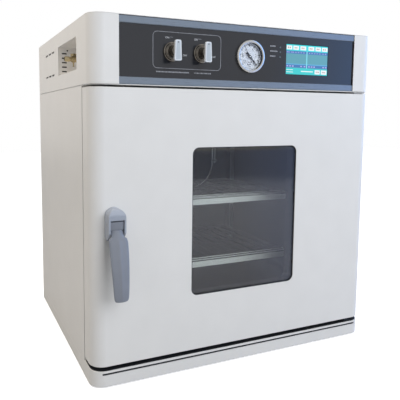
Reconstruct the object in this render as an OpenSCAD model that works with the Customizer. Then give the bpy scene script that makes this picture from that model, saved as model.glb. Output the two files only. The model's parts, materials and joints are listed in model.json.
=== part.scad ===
// Bench-top vacuum drying oven, about 50 litres.
// While drawing, X is to the right, Y goes back from the door's face and Z up from the plinth's bottom.

/* [Case] */
// Width of the case
case_w = 664; // [640:1:700]
// Depth from the door's face to the back
case_d = 532; // [524:1:600]
// Height of the case without its feet
case_h = 700; // [690:1:760]
// Radius of the rounded upright front edges
corner_r = 28; // [20:1:30]
// Radius of the upright rear edges
rear_r = 4; // [3:0.5:8]
// Thickness of the case's sheet steel
sheet_t = 1.5; // [1.2:0.1:1.8]
// Width of the folded returns of the side panels
return_w = 20; // [14:1:24]
// Height of the plinth's sides and back
plinth_h = 26; // [22:1:30]
// Height of the sill under the door, above the plinth
sill_h = 5; // [4:0.5:8]
// Height of the dark groove in the plinth's front
groove_h = 4; // [2:0.5:4.5]
// How far the rubber feet stand out under the plinth
foot_proud = 3; // [2:0.5:10]
// Radius of a rubber foot
foot_r = 16; // [12:1:20]
// Distance of the feet from the case's sides
foot_inset = 55; // [40:1:90]

/* [Head] */
// Height of the head that holds the controls
head_h = 126; // [120:1:134]
// Width of the control panel between the two cheeks
panel_w = 554; // [540:1:570]
// Height of each metal trim strip
trim_h = 14; // [12:0.5:16]
// How far the trim strips sit back from the cheeks
trim_set = 1.5; // [1:0.5:3]
// How far the dark fascia sits back from the trim strips
fascia_set = 2; // [1:0.5:3]
// Thickness of the fascia
fascia_t = 3; // [2:0.5:4]

/* [Controls] */
// Height of the control row above the head's floor
control_z = 63.5; // [60:0.5:66]
// Place of the vacuum valve, left of the middle
vacuum_valve_x = -170.5; // [-180:0.5:-160]
// Distance between the two valves
valve_pitch = 63.5; // [58:0.5:70]
// Diameter of the ring round a knob
ring_d = 37; // [34:0.5:42]
// Length of a knob's grip
grip_l = 38; // [34:0.5:44]
// Width of a knob's grip
grip_w = 15; // [12:0.5:18]
// How far a knob's grip stands out from the cheeks
grip_out = 26; // [20:0.5:28]
// Diameter of a valve's shaft
shaft_d = 8; // [6:0.5:9]
// Place of the vacuum gauge
gauge_x = 3.5; // [-10:0.5:12]
// Outer diameter of the gauge's bezel
bezel_d = 66; // [64:0.5:74]
// Diameter of the gauge's case behind the fascia
gauge_case_d = 61; // [59:0.5:61.5]
// How far the bezel stands out from the cheeks
bezel_out = 3; // [3:0.5:9]
// Place of the touch screen
screen_x = 150; // [140:0.5:156]
// Width of the screen's picture
screen_w = 112; // [104:0.5:116]
// Height of the screen's picture
screen_h = 64; // [60:0.5:68]
// Place of the three indicator lamps
lamp_x = 78; // [70:0.5:82]
// Distance between the lamps
lamp_pitch = 10; // [8:0.5:12]

/* [Side recess] */
// Distance of the recess behind the door's face
recess_y = 98; // [90:1:110]
// Length of the recess
recess_l = 174; // [160:1:190]
// Height of the recess
recess_h = 63; // [54:1:66]
// Depth of the recess
recess_d = 60; // [50:1:70]
// Place of the hose connector along the recess
port_along = 112; // [95:1:125]

/* [Door] */
// Thickness of the door
door_t = 56; // [56:0.5:62]
// Width of the door skin's folded edge at the back
door_return = 14; // [12:0.5:14]
// Gap between the shut door and the cabinet's front
door_gap = 4; // [3.5:0.1:6]
// Gap under the door
door_low_gap = 9; // [7:0.5:12]
// Gap over the door
door_top_gap = 4; // [3.5:0.1:6]
// Width of the window
window_w = 251; // [230:1:270]
// Height of the window
window_h = 301; // [280:1:315]
// Radius of the window's corners
window_r = 14; // [10:0.5:20]
// Thickness of the clear outer pane
pane_t = 5; // [4:0.5:6]
// Thickness of the glass that holds the vacuum
glass_t = 15; // [12:0.5:16]
// Distance of the hinge pins from the case's side
hinge_side = 14; // [12:0.5:15]
// Distance of the hinge pins behind the door's face
hinge_deep = 16; // [14:0.5:18]
// Diameter of the hinge pins
hinge_pin_d = 8; // [6:0.5:9]

/* [Handle] */
// Distance of the handle from the case's left side
handle_side = 42; // [40:0.5:44]
// Height of the handle's pin above the door's bottom edge
handle_up = 278; // [240:1:300]
// Width of the handle's housing
handle_w = 33; // [31:0.5:36]
// How far the housing stands out from the door
handle_out = 28; // [27.5:0.5:30]
// How far the lever's lower end stands out from the door
lever_out = 50; // [46:0.5:54]
// Length of the lever below its pin
lever_l = 135; // [120:1:150]
// Width of the lever where it is widest, below the housing
lever_w = 37; // [34:0.5:40]
// Width of the lever's lower end
lever_tip_w = 29; // [24:0.5:32]
// Diameter of the handle's pin
handle_pin_d = 6; // [5:0.5:7]
// Length of the crank that moves the latch bar
crank_l = 23; // [22:0.5:24]
// How far the lever swings out to release the door, in degrees
lever_swing = 50; // [44:1:52]
// How far the lever presses in to lock the door, in degrees
lever_press = 10; // [8:1:10]

/* [Chamber] */
// Inside width of the chamber
chamber_w = 415; // [400:1:430]
// Inside height of the chamber
chamber_h = 345; // [330:1:355]
// Inside depth of the chamber behind its flange
chamber_d = 370; // [366:1:378]
// Thickness of the chamber's wall
chamber_t = 5; // [4:0.5:6]
// Radius of the chamber's long inner corners
chamber_r = 12; // [8:1:16]
// Width of the flange round the chamber's mouth
flange_w = 30; // [28:1:34]
// Thickness of the flange
flange_t = 12; // [10:0.5:14]
// Width of the silicone seal
seal_w = 10; // [8:0.5:12]
// Depth of the seal's groove
seal_groove = 5; // [4:0.5:6]
// Height of the stiffening ribs
rib_h = 18; // [14:1:22]
// Thickness of the insulation
wool_t = 32; // [26:1:34]

/* [Shelves] */
// Height of the lower shelf's rail above the chamber's floor
shelf_low = 40; // [30:1:60]
// Distance between the two shelves
shelf_pitch = 144; // [120:1:150]
// Height of a shelf's folded edge
shelf_edge = 14; // [10:1:18]
// Depth of a shelf
shelf_d = 312; // [280:1:316]
// Distance of the shelves behind the cabinet's front
shelf_set = 58; // [50:1:60]
// Width of a shelf's slots
slot_w = 8; // [6:0.5:10]

/* [Hidden] */
$fn = 64;
paint = "#e4e4e1";
alu = "#8796a4";
steel = "#b9bcc0";
zinc = "#a7aab0";
handle_grey = "#8b919e";
black = "#222326";
brass = "#b8974e";
rubber = "#2a2a2c";

// Small gaps and fits
eps = 0.01;
fit = 0.3;
run_fit = 0.05;
over = 1;

// Plates that stand in the gaps round the door, and pieces that stand out behind the case
hinge_plate_t = 2.5;
gland_out = 16;

// Heights
sill_top = plinth_h + sill_h;
groove_end = 20;
door_z0 = sill_top + door_low_gap;
head_z0 = case_h - head_h;
floor_z0 = head_z0 - sheet_t;
door_z1 = floor_z0 - door_top_gap;
door_h = door_z1 - door_z0;
mid_z = (door_z0 + door_z1) / 2;
side_top = floor_z0;
frame_top = floor_z0 - hinge_plate_t - fit;
control_h = head_z0 + control_z;

// Depths
front_y = door_t + door_gap;
glass_back = door_t + 1;
glass_front = glass_back - glass_t;
liner_y = door_t - 2 * sheet_t;
chamber_y0 = front_y + flange_t;
chamber_y1 = chamber_y0 + chamber_d;
fascia_y = trim_set + fascia_set;
fascia_back = fascia_y + fascia_t;
rear_y = case_d - 2 * sheet_t;
mid_y = (case_d + gland_out - lever_out) / 2;

// Hinges
hinge_x = case_w / 2 - hinge_side;
hinge_plate_w = 38;
hinge_tail = 8;
hinge_inset = 2;
hinge_pin_l = 24;
bush_r = 7;

// Window
pane_lap = 12;
pane_y = sheet_t + 1;
seal_lip = 2;

// Glass and its carrier
glass_lap = flange_w - 4;
glass_w = chamber_w + 2 * glass_lap;
glass_h = chamber_h + 2 * glass_lap;
carrier_wall = 10;
carrier_ledge = 15;
carrier_y = glass_front - 4;
tunnel_flange_y = carrier_y - sheet_t;

// Handle and latch
handle_x = -case_w / 2 + handle_side;
pin_z = door_z0 + handle_up;
pin_y = -handle_out / 2 + 1;
housing_top = 30;
housing_wall = 3;
cheek_t = 3.4;
knuckle_r = 10.5;
lever_top_w = handle_w - 2 * cheek_t - 2 * fit;
lever_top = 9;
lever_flare = 19;
crank_pin_r = 2.5;
crank_play = 0.5;
crank_end = (lever_swing + lever_press) / 2;
crank_rest = lever_swing - crank_end;
crank_z = crank_l * sin(crank_rest);
crank_y0 = pin_y + crank_l * cos(crank_end);
crank_y1 = pin_y + crank_l;
bar_down = crank_l * (sin(crank_rest) + sin(crank_end)) + crank_play;
bar_up = crank_l * (sin(crank_end) - sin(crank_rest)) + crank_play;
bar_t = 4;
bar_x = handle_x + 1;
bar_y0 = crank_y1 + 5;
bar_y1 = bar_y0 + 20;
bar_z0 = -58;
bar_z1 = 26;
stud_r = 3;
stud_play = 0.3;
stud_y = (bar_y0 + bar_y1) / 2;
stud_z = [0, -44];
strike_t = 3;
strike_edge = 0;
claw_h = 12;
claw_top = strike_edge - bar_up - 0.5;
claw_tip_top = strike_edge - 0.5;
claw_tip_y = front_y + sheet_t + strike_t + 0.5;
claw_tip_l = 7;
claw_slot_w = bar_t + 4;

// Chamber's surroundings
vessel_w = chamber_w + 2 * chamber_t;
vessel_h = chamber_h + 2 * chamber_t;
flange_outer_w = chamber_w + 2 * flange_w;
flange_outer_h = chamber_h + 2 * flange_w;
rib_ys = [for (share = [0.2, 0.5, 0.8]) chamber_y0 + share * chamber_d];
rib_t = 6;
mat_t = 2;
wool_in = chamber_t + rib_h;
post_w = 25;
post_x = chamber_w / 2 - 10;
probe_x = 42;
probe_y = chamber_y0 + 150;
suction_x = -100;
suction_y = chamber_y1 - 60;
suction_r = 5;

// Shelves
rack_t = 1.5;
rail_w = 12;
rack_y0 = front_y + 30;
rack_y1 = chamber_y1 - 12;
shelf_w = chamber_w - 2 * rack_t - 4;
shelf_t = 1.2;
floor_of_chamber = mid_z - chamber_h / 2;
rail_z = [floor_of_chamber + shelf_low, floor_of_chamber + shelf_low + shelf_pitch];

// Controls
vent_valve_x = vacuum_valve_x + valve_pitch;
dial_y = fascia_y + 2;
needle_y = -bezel_out + 5;
bezel_wall = 4;
needle_t = 0.8;
spindle_r = 1.2;
lamp_r = 2;
valve_hole_r = 8;

// Vents in the head's sides
vent_y = [333, 371.5, 410];
vent_z = [37, 90];
vent_l = 28;
vent_h = 4;

// Rear
gland_x = 230;
gland_r = 8;
cable_r = 4.5;
switch_x = 165;
rocker_deep = 6;
pivot_r = 1.5;
rocker_w = 18;
rocker_h = 24;

// ---------- drawing helpers ----------

// A rectangle with round corners, centred
module round_rect(w, h, r) {
    square([w - 2 * r, h], center = true);
    square([w, h - 2 * r], center = true);
    for (sx = [-1, 1], sy = [-1, 1])
        translate([sx * (w / 2 - r), sy * (h / 2 - r)]) circle(r);
}

// A frame of constant width between two round rectangles
module round_frame(w, h, r, width) {
    difference() {
        round_rect(w + 2 * width, h + 2 * width, r + width);
        round_rect(w, h, r);
    }
}

// Extrudes a drawing in X and Z along Y
module along_y(y0, length) {
    translate([0, y0 + length, 0]) rotate([90, 0, 0]) linear_extrude(length) children();
}

// Extrudes a drawing in Y and Z along X
module along_x(x0, length) {
    translate([x0, 0, 0]) rotate([90, 0, 90]) linear_extrude(length) children();
}

// A cylinder along Y from y0
module rod_y(x, y0, z, r, length) {
    translate([x, y0 + length, z]) rotate([90, 0, 0]) cylinder(r = r, h = length);
}

// A cylinder along X from x0
module rod_x(x0, y, z, r, length) {
    translate([x0, y, z]) rotate([0, 90, 0]) cylinder(r = r, h = length);
}

// The case's outline from above, taken in by inset all round
module case_plan(inset = 0) {
    w = case_w - 2 * inset;
    rf = corner_r - inset;
    rb = rear_r - inset;
    translate([-w / 2, inset + rf]) square([w, case_d - 2 * inset - rf - rb]);
    translate([-w / 2 + rf, inset]) square([w - 2 * rf, rf + eps]);
    translate([-w / 2 + rb, case_d - inset - rb - eps]) square([w - 2 * rb, rb + eps]);
    for (s = [-1, 1]) {
        translate([s * (w / 2 - rf), inset + rf]) circle(rf);
        translate([s * (w / 2 - rb), case_d - inset - rb]) circle(rb);
    }
}

// What of a plan lies between two depths
module between_y(y0, y1) {
    intersection() {
        children();
        translate([-case_w, y0]) square([2 * case_w, y1 - y0]);
    }
}

// Puts a piece in the part's own frame: origin under the middle, on the ground
module place() {
    translate([0, -mid_y, foot_proud]) children();
}

// ---------- case ----------

module base_tray() {
    groove_w = case_w - 2 * groove_end;
    groove_z = plinth_h - groove_h + 1;
    color(paint) difference() {
        union() {
            linear_extrude(plinth_h) case_plan();
            linear_extrude(sill_top) between_y(0, front_y) case_plan();
        }
        translate([0, 0, -over]) linear_extrude(plinth_h - sheet_t + over) case_plan(sheet_t);
        translate([0, 0, -over]) linear_extrude(sill_top - sheet_t + over)
            between_y(0, front_y - sheet_t) case_plan(sheet_t);
        translate([-groove_w / 2, -over, groove_z]) cube([groove_w, over + 2 * sheet_t, groove_h]);
    }
}

module levelling_foot() {
    pad_h = foot_proud + 8;
    translate([0, 0, -foot_proud]) cylinder(r1 = foot_r, r2 = foot_r - 2, h = pad_h);
    translate([0, 0, pad_h - foot_proud]) cylinder(r = 5, h = plinth_h - sheet_t - pad_h + foot_proud);
    translate([0, 0, plinth_h - sheet_t - 6]) cylinder(r = 9, h = 6, $fn = 6);
}

module levelling_feet() {
    color(rubber)
        for (sx = [-1, 1], y = [foot_inset, case_d - foot_inset])
            translate([sx * (case_w / 2 - foot_inset), y, 0]) levelling_foot();
}

// A side panel with its front and rear returns; side is -1 or 1
module side_panel(side) {
    color(paint) difference() {
        translate([0, 0, plinth_h]) linear_extrude(side_top - plinth_h)
            difference() {
                intersection() {
                    case_plan();
                    translate([side > 0 ? case_w / 2 - return_w : -case_w / 2, front_y])
                        square([return_w, case_d - front_y]);
                }
                translate([side > 0 ? 0 : -case_w / 2 + sheet_t, front_y + sheet_t])
                    square([case_w / 2 - sheet_t, case_d - front_y - 2 * sheet_t]);
            }
        if (side > 0)
            translate([0, front_y - over, frame_top])
                cube([hinge_x + hinge_tail + fit, sheet_t + 2 * over, case_h]);
    }
}

module rear_panel() {
    slot_rows = 6;
    slot_columns = 7;
    color(paint) difference() {
        along_y(rear_y, sheet_t) translate([0, (plinth_h + side_top) / 2])
            square([case_w - 2 * sheet_t - 2 * fit, side_top - plinth_h], center = true);
        for (c = [0:slot_columns - 1], r = [0:slot_rows - 1])
            translate([(c - (slot_columns - 1) / 2) * 52 - 19, rear_y - over, side_top - 60 - r * 12])
                cube([38, sheet_t + 2 * over, 4]);
    }
}

module front_frame() {
    frame_w = case_w - 2 * return_w - 2 * fit;
    color(paint) difference() {
        along_y(front_y, sheet_t) translate([0, (plinth_h + frame_top) / 2])
            square([frame_w, frame_top - plinth_h], center = true);
        along_y(front_y - over, sheet_t + 2 * over) translate([0, mid_z])
            round_rect(flange_outer_w + 2 * fit, flange_outer_h + 2 * fit, chamber_r + flange_w);
        claw_slot(front_y - over, sheet_t + 2 * over);
    }
}

// The opening through which the latch's claw enters the cabinet
module claw_slot(y0, length) {
    top = pin_z + strike_edge;
    bottom = pin_z + claw_top - claw_h - bar_down - 1;
    translate([bar_x + bar_t / 2 - claw_slot_w / 2, y0, bottom]) cube([claw_slot_w, length, top - bottom]);
}

module latch_strike() {
    color(zinc) difference() {
        translate([bar_x + bar_t / 2 - 12, front_y + sheet_t, pin_z - 56]) cube([24, strike_t, 72]);
        claw_slot(front_y, strike_t + sheet_t + over);
    }
}

// ---------- vessel ----------

module chamber() {
    color(steel) difference() {
        union() {
            along_y(chamber_y0 - eps, chamber_d + eps) translate([0, mid_z])
                round_frame(chamber_w, chamber_h, chamber_r, chamber_t);
            along_y(chamber_y1 - eps, chamber_t) translate([0, mid_z])
                round_rect(vessel_w, vessel_h, chamber_r + chamber_t);
            along_y(front_y, flange_t) translate([0, mid_z])
                round_frame(chamber_w, chamber_h, chamber_r, flange_w);
        }
        seal_ring(front_y - over, seal_groove + over);
        translate([suction_x, suction_y, mid_z]) cylinder(r = suction_r, h = chamber_h);
        translate([probe_x, probe_y, mid_z]) cylinder(r = suction_r, h = chamber_h);
    }
}

// The seal's path: a rounded frame in the middle of the flange
module seal_ring(y0, length) {
    inset = (flange_w - seal_w) / 2;
    along_y(y0, length) translate([0, mid_z])
        round_frame(chamber_w + 2 * inset, chamber_h + 2 * inset, chamber_r + inset, seal_w);
}

module door_gasket() {
    color("#b5b8bd") seal_ring(glass_back + fit, front_y + seal_groove - glass_back - fit);
}

module chamber_ribs() {
    color(zinc)
        for (y = rib_ys)
            along_y(y - rib_t / 2, rib_t) translate([0, mid_z]) difference() {
                square([vessel_w + 2 * rib_h, vessel_h + 2 * rib_h], center = true);
                round_rect(vessel_w, vessel_h, chamber_r + chamber_t);
            }
}

// Flat heaters on the four long walls, between the ribs; the upper ones leave room for the pipes
module heater_mats() {
    edge = 30;
    gap = 8;
    upper_w = vacuum_valve_x + vessel_w / 2 + 100;
    color("#b5532c")
        for (i = [0:1]) {
            y0 = rib_ys[i] + rib_t / 2 + gap;
            length = rib_ys[i + 1] - rib_ys[i] - rib_t - 2 * gap;
            for (x = [-vessel_w / 2 - mat_t, vessel_w / 2])
                translate([x, y0, mid_z - chamber_h / 2 + edge]) cube([mat_t, length, chamber_h - 2 * edge]);
            translate([-chamber_w / 2 + edge, y0, mid_z - vessel_h / 2 - mat_t])
                cube([chamber_w - 2 * edge, length, mat_t]);
            translate([-chamber_w / 2 + edge, y0, mid_z + vessel_h / 2]) cube([upper_w, length, mat_t]);
        }
}

// Five slabs of mineral wool that lie on the ribs
module insulation_slabs() {
    in_w = chamber_w / 2 + wool_in;
    in_h = chamber_h / 2 + wool_in;
    y0 = front_y + flange_t + fit;
    y1 = chamber_y1 + chamber_t;
    color("#d9cf9c") {
        for (s = [-1, 1]) {
            translate([s > 0 ? in_w : -in_w - wool_t, y0, mid_z - in_h]) cube([wool_t, y1 - y0, 2 * in_h]);
        }
        difference() {
            translate([-in_w - wool_t, y0, mid_z - in_h - wool_t])
                cube([2 * (in_w + wool_t), y1 - y0, wool_t]);
            for (s = [-1, 1], y = [rib_ys[0], rib_ys[2]])
                translate([s * post_x, y, mid_z - in_h - wool_t / 2])
                    cube([post_w + 2, post_w + 2, 2 * wool_t], center = true);
        }
        difference() {
            translate([-in_w - wool_t, y0, mid_z + in_h]) cube([2 * (in_w + wool_t), y1 - y0, wool_t]);
            for (p = [[suction_x, suction_y], [probe_x, probe_y]])
                translate([p.x, p.y, mid_z + in_h - over]) cylinder(r = suction_r + 5, h = wool_t + 2 * over);
        }
        translate([-in_w - wool_t, y1, mid_z - in_h - wool_t])
            cube([2 * (in_w + wool_t), wool_t, 2 * (in_h + wool_t)]);
    }
}

// Four square tubes that carry the ribs on the base
module cradle_posts() {
    top = mid_z - chamber_h / 2 - wool_in;
    color(zinc)
        for (s = [-1, 1], y = [rib_ys[0], rib_ys[2]])
            translate([s * post_x, y, plinth_h]) linear_extrude(top - plinth_h) difference() {
                square(post_w, center = true);
                square(post_w - 4, center = true);
            }
}

// Two upright strips and two angle rails welded to them; side is -1 or 1
module shelf_rack(side) {
    wall_x = side * chamber_w / 2;
    strip_w = 20;
    color(steel) {
        for (y = [rack_y0 + 15, rack_y1 - 15 - strip_w])
            translate([side > 0 ? wall_x - rack_t : wall_x, y, floor_of_chamber + chamber_r])
                cube([rack_t, strip_w, chamber_h - 2 * chamber_r]);
        for (z = rail_z) {
            translate([side > 0 ? wall_x - 2 * rack_t : wall_x + rack_t - eps, rack_y0, z - rack_t])
                cube([rack_t + eps, rack_y1 - rack_y0, 10]);
            translate([side > 0 ? wall_x - rack_t - rail_w : wall_x + rack_t, rack_y0, z - rack_t])
                cube([rail_w, rack_y1 - rack_y0, rack_t]);
        }
    }
}

module shelf_racks() {
    for (side = [-1, 1]) shelf_rack(side);
}

// A slotted tray with its four edges folded down, at a rail's height
module shelf(z) {
    columns = 14;
    rows = 4;
    w = shelf_w - 2 * rack_t - 1;
    y0 = front_y + shelf_set;
    slot_l = (shelf_d - 30) / rows - 16;
    color(steel) difference() {
        translate([-w / 2, y0, z + fit]) cube([w, shelf_d, shelf_edge]);
        translate([-w / 2 + shelf_t, y0 + shelf_t, z - over])
            cube([w - 2 * shelf_t, shelf_d - 2 * shelf_t, shelf_edge + fit - shelf_t + over]);
        for (c = [0:columns - 1], r = [0:rows - 1])
            translate([(c - (columns - 1) / 2) * (w - 30) / columns - slot_w / 2,
                y0 + 15 + 8 + r * (slot_l + 16), z]) cube([slot_w, slot_l, shelf_edge + over]);
    }
}

// Two sensor sheaths that hang from the ceiling, and a lead that curves down from one of them
module temperature_probe() {
    top = mid_z + chamber_h / 2;
    sheath_l = 70;
    bow_r = 60;
    color(steel) {
        translate([probe_x, probe_y, top - 6]) cylinder(r = 9, h = 6, $fn = 6);
        translate([probe_x, probe_y, top - 6]) cylinder(r = suction_r - fit, h = chamber_t + 30);
        for (dx = [-4, 4])
            translate([probe_x + dx, probe_y, top - 6 - sheath_l]) cylinder(r = 2, h = sheath_l + eps);
        translate([probe_x, probe_y, top - sheath_l]) cube([14, 6, 5], center = true);
        translate([probe_x - 4 - bow_r, probe_y, top - 6 - sheath_l]) rotate([90, 0, 0])
            rotate_extrude(angle = -80) translate([bow_r, 0]) circle(1.2, $fn = 24);
    }
}

// ---------- head ----------

module head_floor() {
    lip_h = 10;
    color(paint) difference() {
        union() {
            translate([0, 0, floor_z0]) linear_extrude(sheet_t) case_plan(sheet_t);
            for (x = [-case_w / 2 + sheet_t, case_w / 2 - 2 * sheet_t])
                translate([x, front_y, head_z0 - eps]) cube([sheet_t, case_d - 2 * front_y, lip_h]);
            translate([-panel_w / 2, case_d - 2 * sheet_t, head_z0 - eps]) cube([panel_w, sheet_t, lip_h]);
        }
        for (p = [[suction_x, suction_y], [probe_x, probe_y]])
            translate([p.x, p.y, floor_z0 - over]) cylinder(r = 12, h = sheet_t + 2 * over);
    }
}

// A cheek and side of the head in one folded sheet; side is -1 or 1
module head_side(side) {
    top = case_h - sheet_t;
    cheek_w = (case_w - panel_w) / 2;
    color(paint) difference() {
        translate([0, 0, head_z0]) linear_extrude(top - head_z0)
            difference() {
                intersection() {
                    case_plan();
                    translate([side > 0 ? case_w / 2 - cheek_w : -case_w / 2, 0]) square([cheek_w, case_d]);
                }
                case_plan(sheet_t);
            }
        if (side < 0)
            translate([-case_w / 2 - over, recess_y, control_h - recess_h / 2])
                cube([sheet_t + 2 * over, recess_l, recess_h]);
        for (y = vent_y, z = vent_z)
            translate([side * case_w / 2 - 2 * over, y - vent_l / 2, head_z0 + z - vent_h / 2])
                cube([4 * over, vent_l, vent_h]);
    }
}

module head_top() {
    color(paint) translate([0, 0, case_h - sheet_t]) linear_extrude(sheet_t) case_plan();
}

module head_rear() {
    color(paint) difference() {
        along_y(case_d - sheet_t, sheet_t) translate([0, (head_z0 + case_h - sheet_t) / 2])
            square([panel_w - 2 * fit, head_h - sheet_t], center = true);
        rod_y(gland_x, case_d - 5, control_h, gland_r, 10);
        translate([switch_x, case_d, control_h]) cube([rocker_w + 4, 10, rocker_h + 4], center = true);
        for (c = [0:5], r = [0:4])
            translate([-220 + c * 44, case_d - 5, head_z0 + 30 + r * 14]) cube([32, 10, 4]);
    }
}

// The sheet-metal box behind the opening in the head's left side
module port_recess() {
    x0 = -case_w / 2 + sheet_t;
    depth = recess_d - sheet_t;
    z0 = control_h - recess_h / 2;
    slot_in = 7;
    color(paint) difference() {
        translate([x0, recess_y - sheet_t, z0 - sheet_t])
            cube([depth + sheet_t, recess_l + 2 * sheet_t, recess_h + 2 * sheet_t]);
        translate([x0 - over, recess_y, z0]) cube([depth + over, recess_l, recess_h]);
        for (i = [0:4])
            translate([x0 + slot_in, recess_y + recess_l - over, z0 + 8.5 + i * 10])
                cube([11, sheet_t + 2 * over, 3]);
        rod_x(x0 + depth - over, recess_y + port_along, control_h, 6, sheet_t + 2 * over);
    }
}

// A brass tee: hexagon, barrel, capped upper branch, drain plug and a plain hose nozzle
module vacuum_port() {
    x_in = -case_w / 2 + recess_d;
    y = recess_y + port_along;
    z = control_h;
    bore_r = 2.5;
    nozzle_r = 4.5;
    nozzle_l = 14;
    color(brass) difference() {
        union() {
            rod_x(x_in - 8, y, z, 10, 8, $fn = 6);
            rod_x(x_in - 8, y, z, 6 - fit / 2, 8 + sheet_t + 12);
            rod_x(x_in - 34, y, z, 7, 27);
            translate([x_in - 22, y, z]) cylinder(r = 5, h = 12);
            translate([x_in - 22, y, z + 8]) cylinder(r = 8, h = 7, $fn = 6);
            translate([x_in - 22, y, z - 14]) cylinder(r = 3.5, h = 14);
            rod_x(x_in - 34 - nozzle_l, y, z, nozzle_r, nozzle_l + eps);
            translate([x_in - 34 - nozzle_l, y, z]) rotate([0, -90, 0])
                cylinder(r1 = nozzle_r, r2 = nozzle_r - 1, h = 5);
        }
        rod_x(x_in - 34 - nozzle_l - 5 - over, y, z, bore_r, nozzle_l + 5 + 34 + sheet_t + 12 + 2 * over);
    }
}

// ---------- control panel ----------

// A trim strip's section: a flat face with bevelled edges and a lip behind the fascia
module trim_section() {
    y0 = trim_set;
    polygon([[y0 + 1.2, 0], [y0, 1.2], [y0, trim_h - 1.2], [y0 + 1.2, trim_h], [fascia_back + 3, trim_h],
        [fascia_back + 3, 0]]);
}

// One strip along the head's upper edge and one along its lower edge
module trim_strips() {
    color(alu)
        for (z = [head_z0, case_h - sheet_t - trim_h])
            along_x(-panel_w / 2 + fit, panel_w - 2 * fit) translate([0, z]) trim_section();
}

module control_fascia() {
    z0 = head_z0 + trim_h;
    z1 = case_h - sheet_t - trim_h;
    color(black) difference() {
        translate([-panel_w / 2 + fit, fascia_y, z0]) cube([panel_w - 2 * fit, fascia_t, z1 - z0]);
        rod_y(gauge_x, fascia_y - over, control_h, gauge_case_d / 2, fascia_t + 2 * over);
        for (x = [vacuum_valve_x, vent_valve_x])
            rod_y(x, fascia_y - over, control_h, valve_hole_r, fascia_t + 2 * over);
        translate([screen_x - screen_w / 2, fascia_y - over, control_h - screen_h / 2])
            cube([screen_w, fascia_t + 2 * over, screen_h]);
        for (i = [-1:1])
            rod_y(lamp_x, fascia_y - over, lamp_z(i), lamp_r, fascia_t + 2 * over);
    }
}

function lamp_z(i) = control_h + 13 + i * lamp_pitch;

module touch_screen() {
    color("#2f7f92") {
        translate([screen_x - screen_w / 2 - 6, fascia_back, control_h - screen_h / 2 - 5])
            cube([screen_w + 12, 9, screen_h + 10]);
        translate([screen_x - screen_w / 2 + fit, fascia_back - 2, control_h - screen_h / 2 + fit])
            cube([screen_w - 2 * fit, 2 + eps, screen_h - 2 * fit]);
    }
}

// The board behind the screen, on four spacers, with its relays, capacitors and connectors
module controller_board() {
    y0 = fascia_back + 9;
    board_w = screen_w + 8;
    board_h = screen_h + 8;
    gap = 10;
    color("#2c6e49") {
        translate([screen_x - board_w / 2, y0 + gap, control_h - board_h / 2]) cube([board_w, 1.6, board_h]);
        for (sx = [-1, 1], sz = [-1, 1])
            rod_y(screen_x + sx * (board_w / 2 - 6), y0, control_h + sz * (board_h / 2 - 6), 3, gap + eps);
        for (i = [0:2])
            translate([screen_x - 40 + i * 24, y0 + gap + 1.5, control_h - 24]) cube([16, 14, 20]);
        for (i = [0:1])
            rod_y(screen_x + 34, y0 + gap + 1.5, control_h - 14 + i * 22, 7, 18);
        translate([screen_x - 45, y0 + gap + 1.5, control_h + 16]) cube([60, 9, 9]);
    }
}

module indicator_lamps() {
    color("#7d3a36")
        for (i = [-1:1])
            rod_y(lamp_x, fascia_y - 0.6, lamp_z(i), lamp_r - run_fit, fascia_t + 6);
}

// The gauge's cup with its rolled bezel and the threaded stem behind
module gauge_case() {
    depth = 26;
    color("#c9ccd1") difference() {
        union() {
            rod_y(gauge_x, -bezel_out + 1.5, control_h, bezel_d / 2, fascia_y + bezel_out - 1.5);
            translate([gauge_x, -bezel_out + 1.5, control_h]) rotate([90, 0, 0])
                cylinder(r1 = bezel_d / 2, r2 = bezel_d / 2 - 1.5, h = 1.5);
            rod_y(gauge_x, fascia_y - eps, control_h, gauge_case_d / 2 - run_fit, depth);
            rod_y(gauge_x, fascia_y + depth - 2 * eps, control_h, 7, 18);
        }
        rod_y(gauge_x, -bezel_out - over, control_h, bezel_d / 2 - bezel_wall, dial_y + 1 + bezel_out + over);
    }
}

module gauge_dial() {
    color("#e9ebee") {
        rod_y(gauge_x, dial_y, control_h, bezel_d / 2 - bezel_wall - run_fit, 1);
        rod_y(gauge_x, needle_y - 1.5, control_h, spindle_r, dial_y - needle_y + 1.5 + eps);
    }
}

module gauge_glass() {
    color([0.8, 0.85, 0.9, 0.3])
        rod_y(gauge_x, -bezel_out + 0.8, control_h, bezel_d / 2 - bezel_wall - run_fit, 1.6);
}

// A tapered pointer with a short tail, hub on the spindle; it points to the scale's zero
module gauge_needle() {
    reach = bezel_d / 2 - bezel_wall - 6;
    tail = 11;
    color(black) translate([gauge_x, needle_y + needle_t, control_h]) rotate([90, 0, 0]) difference() {
        rotate([0, 0, -45]) union() {
            cylinder(r = 3, h = needle_t);
            linear_extrude(needle_t)
                polygon([[0, -1.5], [reach, -0.4], [reach, 0.4], [0, 1.5], [-tail, 2.2], [-tail, -2.2]]);
        }
        translate([0, 0, -over]) cylinder(r = spindle_r + run_fit, h = needle_t + 2 * over);
    }
}

// One valve behind the fascia: hexagon body, side stub and threaded neck through the fascia
module valve_body(x) {
    rod_y(x, fascia_back, control_h, 14, 30, $fn = 6);
    rod_y(x, fascia_y + eps, control_h, valve_hole_r - run_fit, fascia_t);
    rod_y(x, fascia_back + 30 - eps, control_h, 6, 14);
    translate([x, fascia_back + 18, control_h - 30]) cylinder(r = 5, h = 20);
}

module valve_bodies() {
    color(brass)
        for (x = [vacuum_valve_x, vent_valve_x]) difference() {
            valve_body(x);
            rod_y(x, fascia_y - over, control_h, shaft_d / 2, 24);
        }
}

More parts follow.
